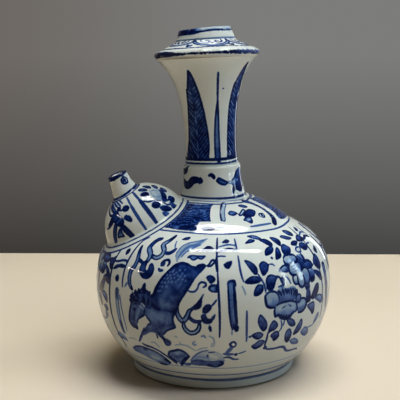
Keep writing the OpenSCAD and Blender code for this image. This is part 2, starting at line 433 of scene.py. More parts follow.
def makeGlaze():
    material = bpy.data.materials.new("cobalt_under_glaze")
    f = Finish(material)
    place = f.place()
    up = f.height(place)
    grain, mottle, cloud, peel = (f.noise(place, *glaze[key]) for key in ("grain", "mottle", "cloud", "peel"))
    lineGap, lineTone, washGap, washTone, hatch, worn, bare, pool = (f.stored(name) for name in painted)
    flake = worn * (f.noise(place, *glaze["flakes"]) - 0.45) * 5.0  # wear eats into the paint's edges
    line = f.scale(lineGap + (grain - 0.5) * 0.4 + flake, 0.34, -0.12) * lineTone * (0.86 + 0.28 * mottle)
    wash = f.scale(washGap + (grain - 0.5) * 0.6 + flake, 0.4, -0.4) * washTone
    pooled = f.scale(washGap, -1.5, -0.2) * 0.12
    wave = f.add("ShaderNodeTexWave", {"wave_type": "RINGS", "rings_direction": "Z"},
                 {"Vector": place, **glaze["waves"]})
    wash = wash * (0.56 + 0.84 * mottle + pooled) * (1 - hatch * 0.3 * f.scale(wave, 0.5, 0.95))
    cobalt = line.over(wash)
    ground = 1 - cobalt
    shade = f.add("ShaderNodeValToRGB", {"stops": glaze["cobalt"]}, {"Fac": cobalt})
    paintedBottomShade = f.scale(up, 0.09, 0.004) * (0.45 + 0.3 * cloud)  # painted shade: the glaze is darkened to grey towards the bottom of the body, where less light falls
    shade = f.blend(paintedBottomShade * ground, shade, glaze["low"])
    tint = pool * 0.55 + f.scale(cloud, 0.45, 0.8) * 0.16
    shade = f.blend(tint * ground, shade, glaze["pool"])
    cells = {"Vector": place, "Scale": glaze["specks"]}
    off, pick = (f.add("ShaderNodeTexVoronoi", {"feature": "F1"}, cells, out)
                 for out in ("Distance", "Color"))
    few = f.add("ShaderNodeSeparateColor", {}, {"Color": pick}) > 0.8
    shade = f.blend(f.scale(off, 0.035, 0.018) * few * 0.85, shade, glaze["speck"])
    shade = f.blend(bare * (0.7 + 0.3 * mottle), shade, glaze["biscuit"])
    # a dark brown line where the glaze ends at the foot, just above the floor
    footDarkLine = bare * (1 - bare) * 4.0 * f.scale(up, 0.004, 0.002)
    shade = f.blend(footDarkLine * 0.9, shade, glaze["footDark"])
    gloss = glaze["gloss"] + 0.03 * mottle + 0.16 * f.scale(worn * grain, 0.3, 0.6)
    edgeOn = f.add("ShaderNodeLayerWeight", {}, {"Blend": 0.5}, "Facing")
    relief = cloud * 1.2 + peel * 0.10 + bare * grain * 1.5
    f.dress({
        "IOR": glaze["index"], "Specular IOR Level": glaze["sheen"], "Coat Roughness": glaze["gloss"],
        "Base Color": shade, "Roughness": gloss * (1 - bare) + bare * glaze["dry"],
        "Coat Weight": f.scale(edgeOn, 0.3, 0.9) * (1 - bare) * glaze["coat"],
        "Normal": f.ripple(glaze["orangePeel"], glaze["peelDeep"], relief),
    })
    return material


slip = {
    "pale": (0.62, 0.57, 0.47, 1), "dark": (0.47, 0.39, 0.29, 1), "rough": 0.75, "roughMore": 0.2,
    "grain": (700.0, 4.0, 0.6), "gritty": 0.3, "gritDeep": 0.0005,
}


def makeSlip():
    material = bpy.data.materials.new("luting_slip")
    f = Finish(material)
    grain = f.noise(f.place(), *slip["grain"])
    f.dress({
        "Base Color": f.blend(grain, slip["pale"], slip["dark"]),
        "Roughness": slip["rough"] + slip["roughMore"] * grain,
        "Normal": f.ripple(slip["gritty"], slip["gritDeep"], grain),
    })
    return material


glazed, luting = makeGlaze(), makeSlip()


def finishPiece(piece, brush, node):
    brush.store(piece)
    piece.data.materials.append(glazed)
    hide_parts(node)
    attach(piece, "root")
    note(f"{piece.name}, {len(piece.data.polygons)} faces")


# body

body = {
    "bellyR": 69.8, "bellyZ": 50, "shoulderZ": 102.5, "power": 2.7, "wall": 4, "seatR": 19, "boreR": 12.8,
    "footR": 49, "footH": 6.5, "footWall": 5.5, "recess": 4.6, "base": 5, "slip": 0.8,
    "middleR": 3, "knock": 0.7, "upperColumns": 680, "lowerColumns": 840, "upperRow": 0.6,
    "lowerRow": 0.5, "ease": 0.5, "innerRows": 14,
    # painted rings: run up the clay from the foot, width and tone
    "lowRings": [(14.3, 0.8, 0.45), (6.8, 1.2, 0.66), (0.2, 2.3, 0.82)],
    "highRings": [(97.7, 1.0, 0.78), (125.2, 1.1, 0.82), (128.2, 1.0, 0.72)],
    "bareTo": 1.6, "paintFrom": 1.0, "skinDeep": 2,
}
bellyR, bellyZ, shoulderZ, seatR = body["bellyR"], body["bellyZ"], body["shoulderZ"], body["seatR"]
footR, footH, power, joint = body["footR"], body["footH"], body["power"], body["slip"]
rise = (shoulderZ - bellyZ) / (1 - seatR / bellyR) ** (1 / power)
drop, inset = bellyZ - footH, bellyR - footR
lowArc = (inset ** 2 + drop ** 2) / (2 * inset)


def shoulderR(z, grow=0.0):
    return (bellyR + grow) * (1 - np.clip((z - bellyZ) / (rise + grow), 0, 1) ** power)


def lowerR(z, grow=0.0):
    return bellyR - lowArc + np.sqrt((lowArc + grow) ** 2 - (bellyZ - z) ** 2)


# painter's height: the run up the clay from the top of the foot, mm
runZ = np.concatenate([np.linspace(footH, bellyZ, 300), np.linspace(bellyZ, shoulderZ, 400)[1:]])
runR = np.where(runZ < bellyZ, lowerR(runZ), shoulderR(runZ))
runV = np.concatenate([[0], np.cumsum(np.hypot(np.diff(runZ), np.diff(runR)))])


def bodyHeight(z):
    return np.where(z < footH, z - footH, np.interp(z, runZ, runV))


horse = {
    "settle": 0.06,
    "wash": [
        (0.88, 0, "-7.6,57.5 -6.6,60 -5.4,63 -3.8,66.2 -1.6,69.4 0.6,72 3,74.8 5.4,76.5 8,77.3 10.6,77.1"
         " 13,76 15,75.2 16.2,75.5 17.3,76.7 18.6,77.3 20.8,77.7 22.6,76.6 21.4,74.3 19.6,72.2 18,70.4"
         " 16.6,68.4 15.4,66.2 14.2,64 12.8,61.8 11.6,59.8 10.2,57.6 9,55.4 8,53 7,50.8 5.6,49 3,49.6 0,50"
         " -4,50 -8,50.2 -10.5,51.5 -11.5,54 -10,57"),
        (0.72, 0, "-12.4,51 -12,47.4 -10.6,45.2 -9,43 -8.6,42 -10.6,40.6 -12.6,38.9 -14,37 -15,35"
         " -16.7,32.5 -18.4,30 -19.3,28.3 -18.2,28.5 -16.4,31 -14.9,33.2 -13.4,33.8 -12.4,34.8 -11,36"
         " -9,36.9 -7,37 -5.2,36.2 -4.2,34.6 -3,33.6 -2,32.4 -1.8,31 -0.8,29.3 0.4,28.8 1.9,29.4 2.9,30.8"
         " 2.7,32.4 1.4,33.5 -0.2,34 -1.3,35 -1.4,36.2 -0.6,37.4 1.2,38.8 3.6,40 5.9,41.1 5.2,43 4.7,45.5"
         " 5.2,48 6,50.4 3,51.2 -2,51.4 -8,51.4"),
        (0.74, 0, "-21.8,51 -22.4,48.6 -23.1,46 -23.7,43 -23.8,41 -23.2,39 -22.2,37.8 -20.8,37 -19.2,36.8"
         " -18.2,36.5 -17.5,37.4 -17.9,39 -17.8,41 -17.1,42.6 -15.8,43.8 -14,44.8 -12.8,45.8 -12.2,47.6"
         " -12.2,50 -14,52 -17,52.2 -20,51.8"),
        (0.9, 0, "-21.9,51.6 -21.4,53.6 -20,55.6 -18.4,57.2 -16.8,58.6 -15,58.8 -13.4,59.6 -11.6,59"
         " -9.6,58.1 -8,57.4 -6.5,54 -8,50.6 -10.5,50.4 -12.2,51.6 -14,52.8 -16,51.2 -18.5,51 -20.2,50.2"
         " -21.6,50"),
        (0.62, 0, "-28,20 -26.4,22.2 -23,24 -19,24.6 -15,24.4 -11,23.4 -8,22.6 -5.6,21 -3.4,19 -1,17.4"
         " -0.2,16 -1.4,14.6 -3.4,13 -6,12.4 -9,12.8 -12,14.6 -16,16 -20,17.6 -24,18.4 -27,18.8"),
        (0.64, 0, "-0.6,22.4 1.4,24.6 4,26 6.6,26.8 9,26.2 11.4,24.8 12.8,23 11,20.6 9.4,18 8,15.6 6.6,14.8"
         " 4.8,16.6 3,18.2 1,20.4"),
        (0.78, 0, "8,16 10,17.6 13,17.4 12.6,15.4 9.6,14.8"),
        (0.32, 0, "13,19 15,22.4 18,25.4 21.4,27.2 25,27.8 28.6,27.2 31.6,25.2 33.4,22 33.6,19.4 28,20.4"
         " 20,20.6 16,19.4"),
        (0.78, 0, "13,16.4 13.4,19.4 17,21 22,20.6 27,20.2 31,20.4 33.2,19 33.6,17.4 32,15.6 29,14.2"
         " 26,14.6 22,15.6 17,15.6"),
        (0.85, 0, "-5.4,74.6 -4.6,77 -3,77.9 -2.4,76.2 -3,74.6"),
        (0.34, 0, "22,93.8 18,92.5 14,90.5 9,89.5 5.5,87 3,84 2.6,81.5 4.6,77.5 6,80.5 8,83.5 12,86.2 16,88"
         " 19,90.5"),
        (0.85, 0.95, "3,92.4 6,94.2 9,94.4 8.6,93 6.5,92.2"),
        (0.95, 0.98, "16,85.5 18.5,86 20.4,87 22,88.4 24,88.7 26,87.6 27,86.2 25,85.3 21,85.2"),
        (0.62, 0.92, "10.6,80.4 11.6,82 14,82.4 17,82.3 20,82.4 21.8,82.2 20.6,80.6 19,79.9 17.2,80.5"
         " 15.4,79.3 13.6,79.3 12.2,80.6"),
        (0.97, 0, "22.8,70 25,71.3 27.2,70.3 28,68.5 26.5,67 25,66.6 23.8,68"),
        (0.6, 0.95, "24,64.5 25.5,66 28,66 29.2,64.3 29,62.2 26.5,62 24.5,63"),
        (0.97, 0, "21.8,61.4 20.2,59.4 18.6,57 17,55.2 15,53.4 13.6,51.8 15.4,51.7 17.8,52.1 19.8,53.2"
         " 20.6,55 20.8,57.6 21.3,59.6 / 20.8,51 21.2,53.4 22.6,55.2 24.6,55.6 25.8,54 25,52 23.6,50.8"
         " 22.2,50.2"),
        (0.88, 0, "20,48.6 20.4,46.2 21.6,44.6 23.6,44.2 25.6,44.8 26.6,46.8 27.2,49.6 26,48.6 25,47.4"
         " 23.6,47.8 22.6,49.4 21.4,50.4"),
        (0.95, 0, "23.8,42.4 24.6,43.8 25.6,42.4 25.8,40.6 25,39.6 24.2,40.8"),
        (0.6, 0.5, "-27.8,59 -26,60.6 -25.2,62 -26.4,62"),
    ],
    "band": [
        (3.0, 0.6, 0.97, "-25.5,84.5 -25,82 -24,79.5 -23,77 -22.6,75 -23,72 -24.4,69.5 -24.8,67 -24.4,64"
         " -23,61 -21.3,59.2"),
        (3.6, 0.5, 0.97, "-12.8,91.6 -15.5,90.5 -17.2,88.5 -18.2,86 -18.3,84.3 -17.2,82.8 -15.6,81.4"
         " -14.6,79.5 -14.8,77 -15.6,75.2"),
        (4.6, 0.86, 0.98, "-15.6,75.6 -16.6,73.2 -16.2,70.6 -14.6,68.9 -12.6,68.5 -10.9,69.9 -10.6,72"
         " -11.4,74.4"),
        (1.9, 0.75, 0.95, "-22,76.6 -19.5,75.3 -17.4,74.6"),
        (3.2, 0.42, 0.97, "-3,94.8 -4.4,93 -6.4,90.6 -8.6,88.8 -9.2,87.6 -8,86 -6.6,84.2 -6.4,82 -7.4,80.2"
         " -9.6,79 -12,79.4 -13.4,80.2"),
        (2.5, 0.9, 0, "-5.8,83.4 -3.6,82.4 -1.4,83 0.4,84.6 1.6,85.8"),
        (2.9, 0.55, 0.97, "7.4,53 7.2,50 8.4,47 10.2,45.3 11.6,46.2 13,48.6 13.8,51 15.4,52.4"),
        (2.7, 0.45, 0.97, "10.6,44.8 11,42 12.4,39.8 14.6,38.6 17,39.2 18.8,41.2 19.4,44.4"),
        (2.0, 0.85, 0.95, "13.8,48.2 15,46.4 17.4,45.3 20.4,45.8"),
    ],
    "shade": [
        (1.0, 2.6, "-7,58 -5,63.5 -2,69 1.5,73.2 5,76.2 8.2,77 11,76.8"),
        (1.0, 3.2, "-7.5,56 -6,52.5 -3,51 1,50.8 5,50.6"),
        (0.98, 3.4, "-4.6,62 -5.4,58.5 -5,55"),
        (0.98, 2.8, "15,67 12.4,62.5 9.6,57.6 7.6,53"),
        (1.0, 4.4, "17.5,75.6 20,76.4 22,76.4"),
        (0.76, 3.2, "4.4,66.4 2.6,62.6 0.6,60 -0.4,57.2"),
        (0.7, 2.2, "9.2,66.5 7.6,63.6"),
        (0.62, 5.0, "-2.6,57 -0.6,53.6 2,54"),
        (0.76, 1.6, "11.4,65 9.4,61.4"),
        (0.55, 4.4, "-6.5,47.6 -4,45.4 -2,46.6"),
        (0.84, 3.6, "-7,39.4 -4,38.4 -2,40.4 0.6,41.6 3.6,42.4"),
        (0.92, 1.8, "4.6,47 5,43.6 4.8,42"),
        (0.94, 2.4, "-4,36.5 -3,34.4 -1,32.6"),
        (1.0, 3.8, "0.2,30.8 1.2,31.4"),
        (0.82, 1.6, "-11,38.6 -14,36 -16.6,32.4"),
        (0.52, 2.0, "-15.4,49.6 -17,46 -18.6,43.2"),
        (0.97, 1.6, "-20,48.4 -19.4,45 -20.6,41"),
        (0.86, 1.4, "-21.8,44 -22,41 -20.6,38.4"),
        (0.97, 2.0, "-19.6,38 -18.2,37"),
        (0.3, 1.3, "-14.8,50.8 -13.2,49.4"),
        (0.72, 0.9, "-18.8,56 -17.2,52.6 / -15.4,57.8 -14.8,54.6"),
        (0.74, 0.9, "-11.6,57.8 -11.4,54"),
        (0.94, 2.6, "-26.6,20.8 -25.2,20.2"),
        (0.97, 2.6, "-17.6,23.4 -15.6,23.6"),
        (1.0, 3.4, "-8.4,13.6 -5,13.4"),
        (0.97, 3.0, "-3.4,18 -1.4,16.4"),
        (0.36, 2.6, "-13,18.4 -9,17.8"),
        (0.68, 2.2, "-23,21 -18,20"),
        (0.82, 2.4, "2,22 6,21.6 10,23.4"),
        (0.5, 2, "3.6,24.2 6.4,24.8"),
        (1.0, 3.6, "25,16.2 29,15.6 31.6,17.2 32.8,18.4"),
        (0.52, 2.6, "15.6,22 20,23 24,22.4"),
        (0.14, 2.4, "25.6,24 28.6,22.8"),
        (0.5, 1.6, "25.6,64.6 27.2,64.2"),
        (0.97, 1.8, "28.4,64.6 28.2,62.8"),
        (0.9, 3.2, "-12.6,91.4 -16.6,89 -18,86.4"),
        (0.95, 3.2, "-3,94.6 -5.6,91.6"),
        (0.98, 3.2, "-14.6,69.6 -12.4,69.4"),
        (0.95, 2.6, "-25.4,84 -24.4,80.4"),
        (0.55, 2.2, "10,87.8 14,88.4 17,89.4"),
    ],
    "dab": [
        (0.44, 1.1, "1.6,71.6 3.4,72 0.2,70 2.2,69.8 4.4,70.4 5.6,71.6 -1.2,67.8 0.8,67.9 3,68.2 5,68.6"
         " 6.8,70 -2.4,65.6 -0.4,65.6 1.6,66.2 3.6,66.4 8.4,69.6 9.8,68.2 7.4,67.8 9.2,71.2 -1.6,63.4"
         " 0.6,63.6 -3.2,63.4 10.8,70 6,66.6 11.6,67.4 -2.6,61 7.4,73 10.4,73.4 -4,60.8"),
    ],
    "line": [
        (1.3, 1.0, "-7.3,57.5 -5.2,63 -2,68.6 1.5,73 4,75.8 7.5,77.3 11,77 14,75.6 16.3,75.3"),
        (1.2, 0.98, "-21.6,52 -22.4,48.4 -23.5,43.5 -23.7,40.6 -22.2,37.9 -20.3,37"),
        (1.8, 1.0, "-19.4,37.3 -18.2,36.9 / -8,57.4 -7,58.2"),
        (1.1, 0.95, "-17.7,40.5 -17,42.8 -14.4,44.7 -12.6,46.2 -12.4,49.6 / -11.6,46.2 -10,44 -8.6,42.1"
         " -10.8,40.4 / 22.9,76.2 24.4,77.6 25.6,79.6 26.8,79.9 27.4,78.8 26.2,77.2 25,76.2 23.4,76"),
        (2.0, 1.0, "-19.3,48.6 -19,47.4 / -10,52.6 -9.6,55.6"),
        (1.0, 0.85, "-20.4,46.4 -20.8,43.4 -20,41 / 25,54 26.6,55.6 28.2,57.8 / 26.6,47 27.4,50"),
        (1.2, 0.97, "8.4,55 7,51.4 5.2,48 4.6,45.6 5.2,43 5.8,41.2 3,39.9 0.6,38.4 -1.3,36.2"),
        (1.0, 0.8, "18.8,66 18.2,63.6 16.6,62 14,62 12.6,63 / 24,26.4 27.6,26.8"),
        (1.1, 0.9, "18.8,65.6 20,67.1 22.2,66.9 22.8,65.4 21.2,64.5 / 24.6,64 26,65.4 27.8,64.8"),
        (2.6, 1.0, "-21,52.4 -22.4,53 / -20,54.6 -21.4,55.8"),
        (2.4, 1.0, "-18,56.6 -18.9,58.4 / -12.4,58.6 -12,60.4"),
        (2.2, 1.0, "-15.8,58 -16.4,59.8 / -10,58 -9.2,59.4 / -17,53.4 -19.4,53.2 / -12.6,53 -12.8,56"),
        (1.3, 0.92, "-16,27 -12,26.2 -7.6,25 -4,22.8 -1,20.4 1.6,17.6 3.6,15.6"),
        (1.4, 0.92, "-28,21 -24,23.4 -19,24.6 -14,24.2 -9,23 -5,20.8 -1.6,17.6"),
        (1.6, 0.95, "-0.6,22.4 1,25 4.4,26.2 7,27 10,25.8 12.6,23"),
        (1.0, 0.98, "-21.3,54 -22.6,55.2 / -19.9,55.8 -21,57.4 / -18.2,57.4 -18.8,59.3 / -16.3,58.6"
         " -16.6,60.4"),
        (0.9, 0.97, "-14.9,59 -15.1,60.6"),
        (2.3, 0.98, "-13.5,59.8 -13.1,61.6 -12.8,63.5"),
        (0.9, 0.95, "-11.3,59 -10.4,60.2 / -9.5,58 -8.8,59"),
        (1.0, 0.9, "-5.6,35.8 -5.2,33.4 / -13.4,38.2 -15.4,34.6 -17.6,31.2 -19.2,28.4"),
        (0.9, 0.7, "-12.8,34.6 -10,36.6 -7,36.9 -5,35.8"),
        (1.5, 0.97, "-4.4,75 -5,76 -4,77.6 -2,78.5 -0.4,78 0.1,76.6 -0.6,75"),
        (1.6, 0.9, "-5.8,73 -4.8,72 -3,72.2"),
        (0.9, 0.42, "5,30 8,30.8 12,30.4 15,28.6 16.6,27.2"),
        (1.1, 0.55, "20.2,36.8 21.4,37.4 22.6,36.2"),
        (0.9, 0.4, "24.2,37.2 26.4,36.2 27.2,33.6 27,30.6 / 17.6,27.6 20.6,29.2 23.4,29.8"),
        (1.1, 0.5, "16.6,33.6 15.5,32.2 16.4,31 17.4,32"),
        (0.9, 0.36, "25.8,30 26,33"),
        (0.9, 0.34, "5,36 7,35.2 / 8,32.4 8.4,30.6 / -27.8,28.6 -24,29.2 -21,28.8"),
        (1.5, 0.95, "-17,27.4 -15.4,26.8 -13,26.4 -10,26.2"),
        (0.9, 0.45, "-10.4,29.6 -8,30 -6.4,28.6 -5,27"),
        (1.8, 0.98, "-0.2,22 1.4,20 3.6,17.2"),
        (2.5, 0.99, "12.4,22.8 9.6,20 7.6,17 6.6,15.2"),
        (1.2, 0.92, "4.4,26 6.4,27 8.4,26.8"),
        (1.2, 0.88, "23.4,24.6 23.6,23"),
        (1.0, 0.7, "13.2,19.4 16,23.4 20,26.8 24,28"),
        (0.8, 0.62, "20,92.6 14,89.4 9,87.6 6,84.4 4.4,80 / 22,93.8 15,91.6 9,90 5,87.4 3,83.6 2.8,81"),
        (0.8, 0.58, "17,90.8 11,88 7.4,84.8 5.4,81"),
        (0.8, 0.6, "18,89.4 12,86.2 8.4,83.4 6.6,80.6"),
        (0.9, 0.6, "-0.5,91 -0.2,88 0.8,86"),
    ],
}
border = {
    "wash": [
        (0.98, 0, "-3.8,91.2 -1.8,92.9 0,93.5 2,92.3 0.6,90.8 -2,90.6"),
        (0.97, 0, "-3.8,77 -1.5,78.6 1.4,79.2 1,76.8 -0.8,74.5 -2.8,75"),
        (0.98, 0, "-2.3,65 -2,68 0,68.6 2.2,68.2 2.5,65 0,64.4"),
        (0.68, 0, "-1.9,66 1.4,66 1.7,58 2.2,50 2.9,44 2.6,41 0.6,41 -0.4,45 -1.1,50 -1.6,58"),
        (0.97, 0, "0.4,43 1.4,41 2.4,39.4 3.6,39.8 4.1,41.6 3.4,43.4 2.2,44.4 1,44 / 2.3,24.6 3.4,25.7"
         " 4.8,24.7 3.8,23.4 2.8,23.6"),
    ],
    "shade": [
        (0.6, 1.2, "0.6,52 1.2,46"),
    ],
    "line": [
        (1.3, 0.95, "-6.9,94.6 -7.3,88 -7.6,82.4"),
        (1.7, 0.97, "-7.7,81.6 -7.8,77 -7.5,73"),
        (1.2, 0.95, "-7.4,72 -7.2,64 -6.8,56 -6.5,50 -6.3,44 -6.3,36.6"),
        (1.1, 0.82, "6,93.4 5.9,88 5.8,85 / 5.7,82 5.6,74 6,70 6.8,67"),
        (0.9, 0.4, "5.6,65 6.6,62.6 7.4,60"),
        (1.2, 0.8, "7.9,51 8,48 8.2,42 8.6,36 8.7,33"),
        (1.0, 0.7, "-6,88.3 -3,89 0,89.6 3,89.4 6,88.5"),
        (1.7, 0.95, "-6.6,85.2 -2.8,85.8 0.3,86.7 3,86.3 6,85.1"),
        (0.9, 0.8, "-7.5,81.8 -5,82.2 -2,82"),
        (1.1, 0.97, "-2,66 -1.7,58 -1.2,50 -0.5,45 0.5,41"),
        (1.8, 0.97, "1.2,66 1.5,58 2,50 2.8,44"),
        (1.3, 0.92, "3.2,31.7 1.6,33.4 -0.3,31.9 1.3,29.9 3,30.8"),
        (2.3, 0.72, "0.9,30 -0.4,28 -2,26.4"),
        (1.9, 0.75, "-3.6,25.4 -1,25 2,24.8"),
        (1.0, 0.75, "4.8,25 7,25.6 9,26.4"),
        (1.4, 0.85, "-3.4,22.6 -1,22.8 0.6,22.2 2.6,21 5.2,20.8"),
        (0.9, 0.5, "0.3,40.4 0.4,38"),
    ],
}
borderLeft = {
    "wash": [
        (0.97, 0, "-0.2,79.4 1,81 2.8,81 4,79.2 3.2,77.4 1.4,77"),
        (0.98, 0, "-0.6,62.8 0.4,64.6 2.2,64.8 3.4,63 2.6,61.2 0.8,61"),
        (0.96, 0, "-5.4,67 -3,69.8 0,70.9 3,71.5 6.2,71 5,69.2 1,68.9 -2,67.6"),
        (0.4, 0, "1,57.2 4,57.2 4.4,50 5.2,41 6.6,31 4.6,30.8 3,40 1.8,50"),
        (0.95, 0, "-16,70 -12,72.8 -6,73 -6,71.4 -11,70.6"),
        (0.92, 0, "-16,60 -12,62.8 -8,61 -5.6,58.8 -7,57.6 -12,58.6"),
        (0.8, 0, "-14,43.4 -11,45 -8,43.4 -8.4,41.4 -11.6,41.2"),
        (0.6, 0, "-3,29.4 0,30.4 4,29.4 6.2,27.4 5,25.4 0,26.4"),
    ],
    "shade": [
        (0.95, 2.6, "2.4,56.6 2.6,52"),
        (0.95, 2.2, "4.4,38 5.6,32"),
    ],
    "line": [
        (1.7, 0.95, "-6,82 -6.4,76 -6.2,68 -5.6,60 -5.2,50 -4,40 -2.6,32 0,24 0.6,20"),
        (1.3, 0.92, "11.8,91 8.6,88 7.4,84 6.8,78 6.4,70 6.6,64 7.2,59"),
        (1.0, 0.6, "5.4,54 7,46 8.6,38 9,33"),
        (1.4, 0.92, "-5.6,71.6 -2,72.2 2,73.4 5,73.6 6.3,72.4"),
        (0.8, 0.6, "1.2,57 1.1,53 2.2,46 3.4,37 4.6,31"),
        (0.9, 0.66, "4.1,57 4.3,50 5.2,41 6.6,31"),
        (1.3, 0.85, "-3.4,28 0,26.6 3,27 6,25.4"),
    ],
}
